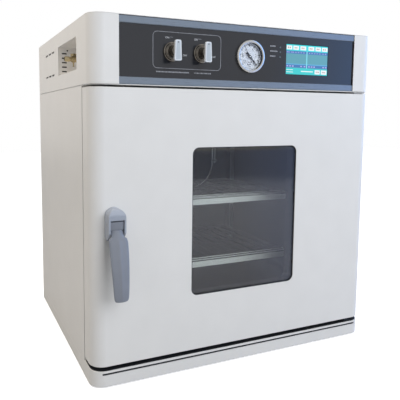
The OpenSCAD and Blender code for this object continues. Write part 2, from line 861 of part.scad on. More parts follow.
// The stepped metal ring round each knob
module valve_rings() {
    color(zinc)
        for (x = [vacuum_valve_x, vent_valve_x]) difference() {
            union() {
                rod_y(x, fascia_y - 4, control_h, ring_d / 2, 4);
                rod_y(x, fascia_y - 7, control_h, ring_d / 2 - 5, 3 + eps);
            }
            rod_y(x, fascia_y - 9, control_h, shaft_d / 2 + 1, 10);
        }
}

// A valve's knob: a shaft, a round column and a bar grip, drawn with the bar upright
module valve_knob(x) {
    column_y = fascia_y - 7 - fit;
    bar_back = -grip_out + 10;
    w = grip_w / 2;
    h = grip_l / 2;
    color("#d7dade") {
        rod_y(x, column_y - eps, control_h, shaft_d / 2 - run_fit, 7 + fascia_t + 8);
        rod_y(x, bar_back - eps, control_h, 11, column_y - bar_back + eps);
        along_y(-grip_out, 10) translate([x, control_h])
            polygon([[-w, -h + 1], [-w + 1, -h], [w - 1, -h], [w, -h + 1], [w - 1.2, h - 2], [w - 3, h],
                [-w + 3, h], [-w + 1.2, h - 2]]);
    }
}

// ---------- inside the head ----------

// A hose along a list of straight runs joined by round elbows in the plane of each corner
module hose(points, r) {
    for (i = [0:len(points) - 2]) {
        step = points[i + 1] - points[i];
        length = norm(step);
        translate(points[i]) rotate([0, acos(step.z / length), atan2(step.y, step.x)])
            cylinder(r = r, h = length);
        if (i > 0) translate(points[i]) sphere(r);
    }
}

module vacuum_lines() {
    valve_back = fascia_back + 44;
    tee_y = 150;
    hose_r = 6;
    suction_top = mid_z + chamber_h / 2 + chamber_t;
    color("#c8b9a0") {
        hose([[suction_x, suction_y, suction_top], [suction_x, suction_y, control_h],
            [vent_valve_x, tee_y, control_h], [vent_valve_x, valve_back, control_h]], hose_r - 1.5);
        hose([[vacuum_valve_x, valve_back, control_h], [vacuum_valve_x, recess_y + port_along, control_h],
            [-case_w / 2 + recess_d + sheet_t + 12, recess_y + port_along, control_h]], hose_r - 1.5);
        hose([[gauge_x, fascia_y + 44, control_h], [gauge_x, tee_y, control_h],
            [vent_valve_x + hose_r, tee_y, control_h]], hose_r - 3);
    }
}

// An open-frame supply in a folded tray, with its transformer and capacitors
module power_supply() {
    w = 110;
    l = 60;
    tray_h = 26;
    x0 = screen_x - w / 2;
    y0 = case_d - 230;
    color("#9aa0a5") translate([x0, y0, head_z0]) {
        difference() {
            cube([w, l, tray_h]);
            translate([sheet_t, -over, sheet_t]) cube([w - 2 * sheet_t, l + 2 * over, tray_h]);
        }
        translate([12, 10, sheet_t - eps]) cube([38, 40, 32]);
        for (i = [0:2])
            translate([64 + i * 17, l / 2, sheet_t - eps]) cylinder(r = 7, h = 28);
    }
}

// A solid-state relay on a finned heat sink
module relay_heatsink() {
    w = 80;
    l = 70;
    base_h = 6;
    fin_h = 26;
    fin_t = 3;
    fins = 9;
    x0 = gauge_x - w / 2;
    y0 = case_d - 200;
    color("#8f9499") translate([x0, y0, head_z0]) {
        cube([w, l, base_h]);
        for (i = [0:fins - 1])
            translate([i * (w - fin_t) / (fins - 1), 0, base_h - eps]) cube([fin_t, l, fin_h]);
        translate([(w - 44) / 2, (l - 46) / 2, base_h + fin_h - 2 * eps]) cube([44, 46, 18]);
    }
}

// The cable's entry: a threaded tube with a lock nut inside, a hexagon and a domed cap outside
module cable_gland() {
    inside = 14;
    hex_t = 6;
    color(black) difference() {
        union() {
            rod_y(gland_x, case_d - inside, control_h, gland_r - run_fit, inside + eps);
            rod_y(gland_x, case_d - sheet_t - 5, control_h, gland_r + 4, 5, $fn = 6);
            rod_y(gland_x, case_d, control_h, gland_r + 4, hex_t, $fn = 6);
            rod_y(gland_x, case_d + hex_t - eps, control_h, gland_r + 2, gland_out - hex_t - 3);
            translate([gland_x, case_d + gland_out - 3 - 2 * eps, control_h]) rotate([-90, 0, 0])
                cylinder(r1 = gland_r + 2, r2 = gland_r - 1, h = 3 + 2 * eps);
        }
        rod_y(gland_x, case_d - inside - over, control_h, cable_r, inside + gland_out + 2 * over);
    }
}

module switch_housing() {
    color(black) difference() {
        union() {
            translate([switch_x - rocker_w / 2 - 2 + fit, case_d - 20, control_h - rocker_h / 2 - 2 + fit])
                cube([rocker_w + 4 - 2 * fit, 20, rocker_h + 4 - 2 * fit]);
            translate([switch_x - rocker_w / 2 - 4, case_d, control_h - rocker_h / 2 - 4])
                cube([rocker_w + 8, 1, rocker_h + 8]);
        }
        translate([switch_x - rocker_w / 2, case_d - 14, control_h - rocker_h / 2])
            cube([rocker_w, 20, rocker_h]);
        rod_x(switch_x - rocker_w / 2 - 1.4, case_d - rocker_deep, control_h, pivot_r, rocker_w + 2.8);
    }
}

// The rocker: a wedge with a dished face that tips on two pivots; it rests with its lower half pressed in
module switch_rocker() {
    w = rocker_w - 2 * fit;
    h = rocker_h - 3;
    tilt = 7;
    color("#b3342b") translate([0, case_d - rocker_deep, control_h]) rotate([tilt, 0, 0]) {
        along_x(switch_x - w / 2, w)
            polygon([[-4, -3], [-4, 3], [rocker_deep - 2, h / 2], [rocker_deep, h / 2],
                [rocker_deep - 1.2, 0], [rocker_deep, -h / 2], [rocker_deep - 2, -h / 2]]);
        rod_x(switch_x - rocker_w / 2 - 1.2, 0, 0, pivot_r - run_fit, rocker_w + 2.4);
    }
}

module case_screw() {
    difference() {
        cylinder(r1 = 3.6, r2 = 2.6, h = 1.2);
        translate([0, 0, 1.4]) cube([4, 0.9, 1.2], center = true);
        translate([0, 0, 1.4]) cube([0.9, 4, 1.2], center = true);
    }
}

// Screws that hold the rear panels to the returns
module case_screws() {
    color(zinc)
        for (s = [-1, 1]) {
            for (z = [plinth_h + 40, mid_z, side_top - 40])
                translate([s * (case_w / 2 - return_w / 2), case_d, z]) rotate([-90, 0, 0]) case_screw();
            for (z = [head_z0 + 20, case_h - 20])
                translate([s * (panel_w / 2 - 10), case_d, z]) rotate([-90, 0, 0]) case_screw();
        }
}

// ---------- hinges ----------

// A plate with a pin at the door's hinge line; up is the way the pin points
module hinge_plate(z, up, depth) {
    color(zinc) {
        intersection() {
            translate([hinge_x + hinge_tail - hinge_plate_w, 6, z]) cube([hinge_plate_w, depth, hinge_plate_t]);
            translate([0, 0, z - over]) linear_extrude(hinge_plate_t + 2 * over) case_plan(hinge_inset);
        }
        translate([hinge_x, hinge_deep, up > 0 ? z + hinge_plate_t - eps : z - hinge_pin_l])
            cylinder(r = hinge_pin_d / 2, h = hinge_pin_l + eps);
    }
}

module upper_hinge() {
    hinge_plate(floor_z0 - hinge_plate_t, -1, front_y + 30);
}

module lower_hinge() {
    hinge_plate(sill_top, 1, front_y - 6 - fit);
    color(zinc) translate([hinge_x, hinge_deep, sill_top + hinge_plate_t - eps]) difference() {
        cylinder(r = bush_r, h = door_low_gap - hinge_plate_t - fit);
        translate([0, 0, -over]) cylinder(r = hinge_pin_d / 2 - eps, h = door_low_gap + 2 * over);
    }
}

// ---------- door ----------

// The door's outline from above, taken in by inset
module door_plan(inset = 0) {
    between_y(inset, door_t - inset) case_plan(inset);
}

module door_shell() {
    color(paint) difference() {
        translate([0, 0, door_z0]) linear_extrude(door_h) door_plan();
        translate([0, 0, door_z0 + sheet_t]) linear_extrude(door_h - 2 * sheet_t) door_plan(sheet_t);
        translate([-case_w / 2 + door_return, door_t - 2 * sheet_t, door_z0 + door_return])
            cube([case_w - 2 * door_return, 4 * sheet_t, door_h - 2 * door_return]);
        along_y(-over, sheet_t + 2 * over) translate([0, mid_z]) round_rect(window_w, window_h, window_r);
        translate([handle_x - 8, -over, pin_z - 17]) cube([16, sheet_t + 2 * over, 34]);
        translate([hinge_x, hinge_deep, door_z0 - over]) cylinder(r = bush_r, h = door_h + 2 * over);
    }
}

// The inner cover of the door, with openings for the glass and the latch's claw
module door_liner() {
    w = case_w - 4 * sheet_t - 2;
    h = door_h - 4 * sheet_t - 2;
    color(steel) difference() {
        along_y(liner_y, sheet_t) translate([0, mid_z]) square([w, h], center = true);
        along_y(liner_y - over, sheet_t + 2 * over) translate([0, mid_z])
            round_rect(glass_w + 3, glass_h + 3, chamber_r + glass_lap + 1.5);
        claw_slot(liner_y - over, sheet_t + 2 * over);
    }
}

// The black rubber profile that holds the outer pane in the door's opening
module window_seal() {
    back = pane_y + pane_t;
    seal_width = pane_lap + seal_lip + 3;
    color(rubber) {
        difference() {
            along_y(sheet_t, back + 1 - sheet_t) translate([0, mid_z])
                round_frame(window_w - 2 * seal_lip, window_h - 2 * seal_lip, window_r - seal_lip, seal_width);
            along_y(pane_y, pane_t) translate([0, mid_z])
                round_rect(window_w + 2 * pane_lap, window_h + 2 * pane_lap, window_r + pane_lap);
        }
    }
}

module window_pane() {
    color([0.25, 0.28, 0.3, 0.5]) along_y(pane_y, pane_t) translate([0, mid_z])
        round_rect(window_w + 2 * pane_lap, window_h + 2 * pane_lap, window_r + pane_lap);
}

// The duct between the outer pane and the glass, with a flange on the carrier
module window_tunnel() {
    front = pane_y + pane_t + 1;
    color(paint) {
        along_y(front, tunnel_flange_y - front + eps) translate([0, mid_z])
            round_frame(window_w + 4, window_h + 4, window_r + 2, sheet_t);
        along_y(tunnel_flange_y, sheet_t) translate([0, mid_z]) difference() {
            round_rect(glass_w + 2 * carrier_wall, glass_h + 2 * carrier_wall, chamber_r + glass_lap);
            round_rect(window_w + 4, window_h + 4, window_r + 2);
        }
    }
}

// The frame that carries the glass: a ledge in front of it and a wall round it
module glass_carrier() {
    color(steel) difference() {
        along_y(carrier_y, liner_y - carrier_y) translate([0, mid_z])
            round_rect(glass_w + 2 * carrier_wall, glass_h + 2 * carrier_wall, chamber_r + glass_lap);
        along_y(glass_front, glass_t) translate([0, mid_z])
            round_rect(glass_w + 2, glass_h + 2, chamber_r + glass_lap + 1);
        along_y(carrier_y - over, glass_t + 6) translate([0, mid_z])
            round_rect(glass_w - 2 * carrier_ledge, glass_h - 2 * carrier_ledge, chamber_r + 10);
    }
}

module vacuum_glass() {
    color([0.75, 0.85, 0.85, 0.3]) along_y(glass_front, glass_t) translate([0, mid_z])
        round_rect(glass_w, glass_h, chamber_r + glass_lap);
}

// Eight clips that hold the glass's edge against the carrier's ledge, outside the seal's path
module glass_clips() {
    clip_t = 1.2;
    clip_w = 24;
    clip_share = 0.55;
    lap = 4;
    foot = 9;
    foot_y = liner_y + sheet_t;
    color(zinc)
        for (a = [0, 90, 180, 270], s = [-1, 1])
            translate([0, 0, mid_z]) rotate([0, a, 0]) {
                edge = a % 180 == 0 ? glass_w / 2 : glass_h / 2;
                along = s * clip_share * (a % 180 == 0 ? glass_h : glass_w) / 2 - clip_w / 2;
                translate([edge - lap, glass_back, along]) cube([lap + 3, clip_t, clip_w]);
                translate([edge + 3 - clip_t, foot_y, along])
                    cube([clip_t, glass_back + clip_t - foot_y, clip_w]);
                translate([edge + 3 - eps, foot_y, along]) cube([foot, clip_t, clip_w]);
            }
}

// A bored block inside the door at each hinge pin
module hinge_blocks() {
    block_h = hinge_pin_l;
    color(zinc)
        for (z = [door_z0 + sheet_t, door_z1 - sheet_t - block_h]) difference() {
            union() {
                intersection() {
                    translate([hinge_x - 26, hinge_deep - 8, z]) cube([32, 22, block_h]);
                    translate([0, 0, z - over]) linear_extrude(block_h + 2 * over) door_plan(sheet_t + fit);
                }
                translate([hinge_x, hinge_deep, z > mid_z ? z + block_h - eps : z - sheet_t])
                    cylinder(r = bush_r - run_fit, h = sheet_t + eps);
            }
            translate([hinge_x, hinge_deep, z - 2 * sheet_t])
                cylinder(r = hinge_pin_d / 2 + run_fit, h = block_h + 4 * sheet_t);
        }
}

// ---------- handle and latch ----------

// The housing's outline from the front: straight sides under a half-round top
module housing_front() {
    r = handle_w / 2;
    translate([handle_x, pin_z]) {
        translate([-r, -32]) square([handle_w, housing_top - r + 32]);
        translate([0, housing_top - r]) circle(r);
    }
}

// The housing's outline from the side: domed top, upright front, cheeks that end in a point
module housing_side() {
    dome = 14;
    translate([0, pin_z]) {
        polygon([[0, housing_top], [-handle_out + dome, housing_top], [-handle_out, housing_top - dome],
            [-handle_out, -14], [-handle_out + 14, -30], [-4, -26], [0, -26]]);
        intersection() {
            translate([-handle_out + dome, housing_top - dome]) circle(dome);
            translate([-handle_out, housing_top - dome]) square(dome);
        }
    }
}

module handle_housing() {
    cavity_w = handle_w - 2 * cheek_t;
    color(handle_grey) difference() {
        intersection() {
            along_y(-handle_out - over, handle_out + over) housing_front();
            along_x(handle_x - handle_w, 2 * handle_w) housing_side();
        }
        translate([handle_x - cavity_w / 2, -handle_out + housing_wall, pin_z - 40])
            cube([cavity_w, handle_out, 40 + 17]);
        translate([handle_x - cavity_w / 2, -handle_out - over, pin_z - 40])
            cube([cavity_w, handle_out, 40 + 9]);
        rod_x(handle_x - handle_w, pin_y, pin_z, handle_pin_d / 2, 2 * handle_w);
    }
}

module handle_pin() {
    color(zinc) rod_x(handle_x - handle_w / 2, pin_y, pin_z, handle_pin_d / 2, handle_w);
}

// The lever's front at a depth d under its pin: it bulges away from the door and ends lever_out from it
function lever_front(d) = -handle_out + 1
    - (lever_out - handle_out + 1) * sin(90 * (d - lever_top) / (lever_l - lever_top));

// A thin slice of the lever at a depth d under its pin, crowned along its front
module lever_slice(d, half, thick) {
    y = lever_front(d);
    crown = 3.2;
    flat = 3;
    translate([handle_x, 0, pin_z - d]) linear_extrude(0.2)
        polygon([[-half, y + crown], [-flat, y], [flat, y], [half, y + crown],
            [half - 1.5, y + thick], [-half + 1.5, y + thick]]);
}

// The lever's blade: as narrow as the slot between the cheeks, then wide, tapering to a rounded end
module lever_blade() {
    neck = lever_top_w / 2;
    tip = lever_tip_w / 2;
    tip_r = 3.5;
    hull() {
        lever_slice(lever_top, neck, 14);
        lever_slice(lever_flare, neck, 11);
    }
    hull() {
        lever_slice(lever_flare, neck, 5);
        lever_slice(lever_flare + 14, lever_w / 2, 8);
        lever_slice(lever_flare + 40, lever_w / 2 - 0.6, 8);
        lever_slice(lever_l - tip_r, tip, 8);
        lever_slice(lever_l, tip - tip_r, 8);
    }
}

module handle_lever() {
    color(handle_grey) difference() {
        union() {
            lever_blade();
            rod_x(handle_x - lever_top_w / 2, pin_y, pin_z, knuckle_r, lever_top_w);
            crank_arm();
        }
        rod_x(handle_x - handle_w, pin_y, pin_z, handle_pin_d / 2 + run_fit, 2 * handle_w);
    }
}

// The crank behind the knuckle, with the pin that moves the latch bar
module crank_arm() {
    arm_t = 6;
    translate([handle_x - arm_t, pin_y, pin_z]) rotate([crank_rest, 0, 0]) {
        translate([0, 0, -4.5]) cube([arm_t, crank_l, 9]);
        rod_x(0, crank_l, 0, 4.5, arm_t);
        rod_x(0, crank_l, 0, crank_pin_r, arm_t + bar_t + 3);
    }
}

// The sliding bar: an ear with a slot for the crank, two slots for the studs and the claw
module latch_bar() {
    slot = crank_pin_r + crank_play;
    ear = slot + 1.5;
    stud_slot = stud_r + stud_play;
    color(zinc) along_x(bar_x, bar_t) translate([0, pin_z]) difference() {
        union() {
            translate([bar_y0, bar_z0]) square([bar_y1 - bar_y0, bar_z1 - bar_z0]);
            translate([crank_y0 - ear, crank_z - 7]) square([bar_y0 - crank_y0 + ear + eps, 14]);
            translate([bar_y1 - eps, claw_top - claw_h]) square([claw_tip_y + claw_tip_l - bar_y1, claw_h]);
            translate([claw_tip_y, claw_top - eps]) square([claw_tip_l - eps, claw_tip_top - claw_top]);
        }
        translate([crank_y0 - slot, crank_z - slot]) square([crank_y1 - crank_y0 + 2 * slot, 2 * slot]);
        for (z = stud_z) {
            translate([stud_y - stud_slot, z - bar_up]) square([2 * stud_slot, bar_up + bar_down]);
            translate([stud_y, z - bar_up]) circle(stud_slot);
            translate([stud_y, z + bar_down]) circle(stud_slot);
        }
    }
}

// The bracket that guides the bar: a plate fixed to the liner with two headed studs
module latch_guide() {
    x0 = bar_x + bar_t + fit;
    t = 2;
    foot = 5.5;
    color(zinc) {
        translate([x0, bar_y0 + 2, pin_z + bar_z0]) cube([t, liner_y - bar_y0 - 2, 80]);
        translate([x0, liner_y - t, pin_z + bar_z0]) cube([t + foot, t, 80]);
        for (z = stud_z) {
            rod_x(bar_x - 3, stud_y, pin_z + z, stud_r, x0 - bar_x + 3 + eps);
            rod_x(bar_x - 3, stud_y, pin_z + z, stud_r + 2, 3 - fit);
        }
    }
}

// ---------- nodes ----------

place() base_tray();
place() levelling_feet();
place() side_panel(-1);  // left_side_panel
place() side_panel(1);  // right_side_panel
place() rear_panel();
place() front_frame();
place() latch_strike();
place() chamber();
place() chamber_ribs();
place() door_gasket();
place() heater_mats();
place() insulation_slabs();
place() cradle_posts();
place() shelf_racks();
place() temperature_probe();
place() head_floor();
place() head_side(-1);  // head_left_side
place() head_side(1);  // head_right_side
place() head_top();
place() head_rear();
place() port_recess();
place() vacuum_port();
place() trim_strips();
place() control_fascia();
place() touch_screen();
place() controller_board();
place() indicator_lamps();
place() gauge_case();
place() gauge_dial();
place() gauge_glass();
place() valve_bodies();
place() valve_rings();
place() vacuum_lines();
place() power_supply();
place() relay_heatsink();
place() cable_gland();
place() switch_housing();
place() upper_hinge();
place() lower_hinge();
place() case_screws();
place() door_shell();
place() door_liner();
place() window_seal();
place() window_pane();
place() window_tunnel();
place() glass_carrier();
place() vacuum_glass();
place() glass_clips();
place() hinge_blocks();
place() handle_housing();
place() handle_pin();
place() latch_guide();
place() handle_lever();
place() latch_bar();
place() valve_knob(vacuum_valve_x);  // vacuum_knob
place() valve_knob(vent_valve_x);  // vent_knob
place() gauge_needle();
place() switch_rocker();
place() shelf(rail_z[1]);  // upper_shelf
place() shelf(rail_z[0]);  // lower_shelf
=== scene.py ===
# %% [markdown]
# # A bench-top vacuum oven
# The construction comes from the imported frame: sixty nodes that already have their true size and
# place. This lesson gives them their finish. Some nodes are welded and softened, so that their
# edges catch light as folded sheet and cast metal do. Others are modelled again, because a dial, a
# knob or a lit screen needs more form than a construction solid has. Everything is in metres, in
# the frame's own axes: X to the right, Y from the door to the back, Z up.

# %% The frame
import json
import math

import bpy
from mathutils import Matrix, Vector

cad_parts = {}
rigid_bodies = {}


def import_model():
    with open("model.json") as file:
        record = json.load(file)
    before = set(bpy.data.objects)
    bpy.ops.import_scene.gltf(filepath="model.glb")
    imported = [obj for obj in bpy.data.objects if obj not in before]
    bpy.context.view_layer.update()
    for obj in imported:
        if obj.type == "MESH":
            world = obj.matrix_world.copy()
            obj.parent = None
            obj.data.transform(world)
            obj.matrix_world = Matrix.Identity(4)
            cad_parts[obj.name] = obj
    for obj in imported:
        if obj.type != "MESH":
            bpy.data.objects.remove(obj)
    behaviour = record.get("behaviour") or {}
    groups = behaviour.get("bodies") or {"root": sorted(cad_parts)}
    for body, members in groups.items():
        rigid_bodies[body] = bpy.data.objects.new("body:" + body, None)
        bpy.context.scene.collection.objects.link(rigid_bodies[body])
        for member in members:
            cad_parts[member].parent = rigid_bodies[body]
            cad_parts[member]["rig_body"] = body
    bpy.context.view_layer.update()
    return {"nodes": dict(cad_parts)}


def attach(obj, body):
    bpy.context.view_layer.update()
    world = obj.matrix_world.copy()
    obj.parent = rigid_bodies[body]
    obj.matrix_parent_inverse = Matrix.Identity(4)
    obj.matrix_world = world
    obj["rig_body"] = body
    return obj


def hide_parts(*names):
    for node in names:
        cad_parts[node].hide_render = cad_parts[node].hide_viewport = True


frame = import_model()
nodes = frame["nodes"]
MM = 0.001

# %% [markdown]
# ## Camera
# The camera stands to the left of the oven at three quarters of its height and looks down slightly,
# so the verticals lean together towards the bottom. The lens shift only slides the frame over the
# object.

# %% Camera
CAMERA_AT = Vector((-0.56304, -1.11670, 0.51860))
YAW, PITCH, ROLL = -0.410597, -0.098093, 0.005208
LENS_MM, SENSOR_MM, SHIFT = 44.50, 36.0, 0.0875


def add_camera():
    data = bpy.data.cameras.new("view")
    data.lens = LENS_MM
    data.sensor_width = SENSOR_MM
    data.shift_x = SHIFT
    data.shift_y = -SHIFT
    ahead = math.cos(PITCH)
    forward = Vector((-math.sin(YAW) * ahead, math.cos(YAW) * ahead, math.sin(PITCH)))
    right = Vector((math.cos(YAW), math.sin(YAW), 0.0))
    up = right.cross(forward)
    level_right = right * math.cos(ROLL) + up * math.sin(ROLL)
    level_up = up * math.cos(ROLL) - right * math.sin(ROLL)
    turn = Matrix((level_right, level_up, -forward)).transposed()
    camera = bpy.data.objects.new("view", data)
    camera.matrix_world = Matrix.Translation(CAMERA_AT) @ turn.to_4x4()
    bpy.context.scene.collection.objects.link(camera)
    bpy.context.scene.camera = camera
    return camera


camera = add_camera()
print("camera looks along", [round(v, 3) for v in camera.matrix_world.col[2].xyz * -1])

# %% [markdown]
# ## Small helpers for materials
# A paint chart gives colours as sRGB codes, and the shader wants linear light, so one function
# converts them. A second one sets or links a node's inputs, and a third adds a node. Every material
# below is built from these and from a few short helpers that use them.

# %% Colours and nodes
scene = bpy.context.scene
scene.view_settings.view_transform = "Standard"


def linear(code):
    """The linear colour of an sRGB code such as #d7d7d5, with an alpha of one."""
    parts = [int(code[i:i + 2], 16) / 255 for i in (1, 3, 5)]
    light = [p / 12.92 if p <= 0.04045 else ((p + 0.055) / 1.055) ** 2.4 for p in parts]
    return tuple(light) + (1.0,)


def feed(tree, node, inputs):
    """An input that is given a socket is linked to it, any other is set."""
    for name, value in inputs.items():
        if isinstance(value, bpy.types.NodeSocket):
            tree.links.new(value, node.inputs[name])
        else:
            node.inputs[name].default_value = value


def add(tree, kind, inputs=None, **settings):
    made = tree.nodes.new(kind)
    for name, value in settings.items():
        setattr(made, name, value)
    feed(tree, made, inputs or {})
    return made


def blend(tree, factor, first, second):
    """Runs from the first colour to the second as the factor goes from 0 to 1."""
    ends = {"Factor": factor, "A": first, "B": second}
    return add(tree, "ShaderNodeMix", ends, data_type="RGBA").outputs["Result"]


def combine(tree, first, second, operation):
    return add(tree, "ShaderNodeMath", {0: first, 1: second}, operation=operation).outputs[0]


def start_material(name, colour, roughness, metallic=0.0):
    """A new material with its shader and the coordinates of the object that wears it."""
    material = bpy.data.materials.new(name)
    material.use_nodes = True
    tree = material.node_tree
    shader = tree.nodes["Principled BSDF"]
    feed(tree, shader, {"Base Color": linear(colour), "Roughness": roughness, "Metallic": metallic})
    place = add(tree, "ShaderNodeTexCoord").outputs["Object"]
    return material, tree, shader, place


def speckle(tree, place, size_mm, stretch=(1, 1, 1), detail=2.0):
    """A noise with grains about size_mm across, drawn out along axes whose stretch is above 1."""
    scale = tuple(1 / s for s in stretch)
    scaled = add(tree, "ShaderNodeMapping", {"Vector": place, "Scale": scale}).outputs["Vector"]
    grains = {"Vector": scaled, "Scale": 1 / (size_mm * MM), "Detail": detail}
    return add(tree, "ShaderNodeTexNoise", grains).outputs["Fac"]


def raise_by(tree, shader, height, depth_mm, strength=1.0):
    relief = {"Height": height, "Distance": depth_mm * MM, "Strength": strength}
    feed(tree, shader, {"Normal": add(tree, "ShaderNodeBump", relief).outputs["Normal"]})


def vary(tree, shader, socket, factor, low, high):
    """Lets a value run between low and high as the factor goes from a third to two thirds."""
    ends = {"Value": factor, "From Min": 0.33, "From Max": 0.67, "To Min": low, "To Max": high}
    feed(tree, shader, {socket: add(tree, "ShaderNodeMapRange", ends).outputs["Result"]})


def tint(tree, shader, factor, dark, light):
    feed(tree, shader, {"Base Color": blend(tree, factor, linear(dark), linear(light))})


print("material helpers ready")

# %% [markdown]
# ## Powder-coated steel
# The case is sheet steel sprayed with dry epoxy powder and baked. The melt leaves a shallow orange
# peel about a millimetre and a half across, a soft satin gloss and almost no change of colour. Thin
# sheet is also never quite flat, so a second, much wider wave bends the reflections a little.

# %% Powder-coated steel
def powder_coated_steel(name="powder_coated_steel", dark="#d7d7d5", light="#dededc"):
    material, tree, shader, place = start_material(name, light, 0.36)
    peel = speckle(tree, place, 1.6)
    wave = speckle(tree, place, 170, detail=0.0)
    raise_by(tree, shader, combine(tree, peel, wave, "ADD"), 0.10, 0.35)
    tint(tree, shader, speckle(tree, place, 60), dark, light)
    vary(tree, shader, "Roughness", peel, 0.34, 0.42)
    return material


print("powder coat ready")

# %% [markdown]
# ## Anodised aluminium, printed film and moulded plastics
# The trim strips are drawn aluminium, brushed along their length and anodised blue-grey: hair-fine
# lines that run with X. The fascia is a dark film with a glossy face. The handle and the knobs are
# moulded, with the even, very fine grain that spark erosion leaves in the tool.

# %% Plastics and aluminium
def anodised_aluminium():
    material, tree, shader, place = start_material("anodised_aluminium", "#77828f", 0.34, 0.5)
    lines = speckle(tree, place, 0.5, (60, 1, 1))
    vary(tree, shader, "Roughness", lines, 0.26, 0.44)
    tint(tree, shader, lines, "#6d7782", "#7f8994")
    raise_by(tree, shader, lines, 0.02, 0.3)
    return material


def glossy_film(name, colour, roughness=0.10):
    material, tree, shader, place = start_material(name, colour, roughness)
    wave = speckle(tree, place, 90, detail=0.0)
    raise_by(tree, shader, wave, 0.06, 0.4)
    vary(tree, shader, "Roughness", speckle(tree, place, 2.5), roughness, roughness + 0.05)
    return material


def moulded_plastic(name, dark, light, roughness=0.34, grain_mm=0.6):
    material, tree, shader, place = start_material(name, light, roughness)
    grain = speckle(tree, place, grain_mm)
    tint(tree, shader, speckle(tree, place, 25), dark, light)
    vary(tree, shader, "Roughness", grain, roughness - 0.04, roughness + 0.06)
    raise_by(tree, shader, grain, 0.03, 0.4)
    return material


print("aluminium, film and plastics ready")

# %% [markdown]
# ## Metals
# Stainless sheet leaves the mill with lines rubbed along it. Zinc plate is duller and slightly
# mottled. Chrome is smooth. Turned brass has rings that are too fine to draw, so it gets a soft
# mottling instead.

# %% Metals
def rubbed_metal(name, dark, light, roughness, line_mm, stretch, metallic=1.0):
    material, tree, shader, place = start_material(name, light, roughness, metallic)
    lines = speckle(tree, place, line_mm, stretch)
    tint(tree, shader, lines, dark, light)
    vary(tree, shader, "Roughness", lines, roughness - 0.06, roughness + 0.10)
    raise_by(tree, shader, lines, 0.02, 0.4)
    return material


def plated_metal(name, dark, light, roughness, patch_mm=6):
    material, tree, shader, place = start_material(name, light, roughness, 1.0)
    patches = speckle(tree, place, patch_mm, detail=3.0)
    tint(tree, shader, patches, dark, light)
    vary(tree, shader, "Roughness", patches, roughness * 0.8, roughness * 1.25)
    return material


print("metals ready")

# %% [markdown]
# ## Glass
# Clear glass lets light through, so a shadow ray has to pass it, or the chamber behind would stay
# black. To every other ray the shader is real refractive glass. The outer pane is tinted a warm
# grey. The gauge's glass and the thick glass are coated so that they hardly mirror, and a low index
# stands for the coating. The lit screen is built here too, from a shader that shines by itself.

# %% Glass
SCREEN_OFF, DIM_SHARE = "#101214", 0.93


def clear_glass(name, colour, shade, index=1.5):
    material, tree, shader, place = start_material(name, colour, 0.02)
    feed(tree, shader, {"Transmission Weight": 1.0, "IOR": index})
    raise_by(tree, shader, speckle(tree, place, 140, detail=0.0), 0.04, 0.3)
    passing = add(tree, "ShaderNodeBsdfTransparent", {"Color": linear(shade)})
    shadow = add(tree, "ShaderNodeLightPath").outputs["Is Shadow Ray"]
    ends = {0: shadow, 1: shader.outputs["BSDF"], 2: passing.outputs["BSDF"]}
    mix = add(tree, "ShaderNodeMixShader", ends)
    feed(tree, tree.nodes["Material Output"], {"Surface": mix.outputs["Shader"]})
    return material


def lit_colour(name, colour):
    """A patch of the lit screen: it shines by itself under a thin gloss."""
    material, tree, shader, place = start_material(name, SCREEN_OFF, 0.15)
    full = linear(colour)
    dimmed = tuple(c * DIM_SHARE for c in full[:3]) + (1.0,)
    glow = blend(tree, speckle(tree, place, 0.8), full, dimmed)
    feed(tree, shader, {"Emission Color": glow, "Emission Strength": 1.0})
    return material


print("glass and screen shaders ready")

# %% [markdown]
# ## The finishes of this oven
# Each finish is one call with two close shades, because no real surface has a single colour. Sheet
# that is brushed along X gets the same long stretch everywhere. The chamber and its shelves get a
# darker steel, which is painted shade for the dim inside. The shelves' front edges get a pale matt
# finish, which is painted light for their lit look behind the glass.

# %% The finishes of this oven
ALONG_X = (40, 1, 1)
PAINT = powder_coated_steel()
# A lighter copy of the case paint for the side recess: painted light against the shade inside it.
RECESS_PAINTED_LIGHT = powder_coated_steel("powder_coat_painted_light", "#efeeec", "#f4f3f1")
TRIM = anodised_aluminium()
FILM = glossy_film("glossy_dark_film", "#24262b")
HANDLE = moulded_plastic("grey_abs", "#71767f", "#7b8089")
HOUSING = moulded_plastic("light_grey_abs", "#8f96a2", "#9aa2ae")
SILVER = moulded_plastic("silver_abs", "#ccd3da", "#dbe1e7", 0.26, 0.4)
# A darker copy of the knobs' silver for their faces: painted shade, which leaves the rim as a
# painted highlight.
KNOB_FACE_SHADED = moulded_plastic("silver_abs_painted_shade", "#a9b3ba", "#b4bdc4", 0.36, 0.4)
BLACK = moulded_plastic("black_pa", "#1a1b1d", "#232427", 0.42)
RED = moulded_plastic("red_pc", "#9c231b", "#b02a20", 0.22)
UNLIT = moulded_plastic("unlit_lens_pc", "#4c585e", "#5a676c", 0.18, 0.5)
RUBBER = moulded_plastic("black_epdm", "#16171a", "#202226", 0.62, 1.2)
SILICONE = moulded_plastic("grey_silicone", "#a9adb2", "#b9bcc0", 0.55, 1.0)
PRINT = moulded_plastic("white_screen_ink", "#c3c6cb", "#d2d5d9", 0.4, 0.3)
PRINT_GREY = moulded_plastic("pale_screen_ink", "#888b91", "#979aa0", 0.4, 0.3)
DIAL = moulded_plastic("enamelled_dial", "#a3a4a5", "#adaeaf", 0.35, 0.5)
NEEDLE = moulded_plastic("black_lacquer", "#141416", "#1c1c1f", 0.4, 0.3)
BOARD = moulded_plastic("green_solder_mask", "#1d5a38", "#2a7349", 0.3, 2.0)
WOOL = moulded_plastic("mineral_wool", "#b9a868", "#d9cb90", 0.95, 3.0)
MAT = moulded_plastic("silicone_heater", "#9a4523", "#b5532c", 0.6, 1.5)
HOSE = moulded_plastic("vacuum_rubber", "#a8967a", "#bba98c", 0.6, 1.2)
STEEL = rubbed_metal("brushed_stainless", "#9da1a6", "#b9bcc0", 0.34, 0.5, ALONG_X)
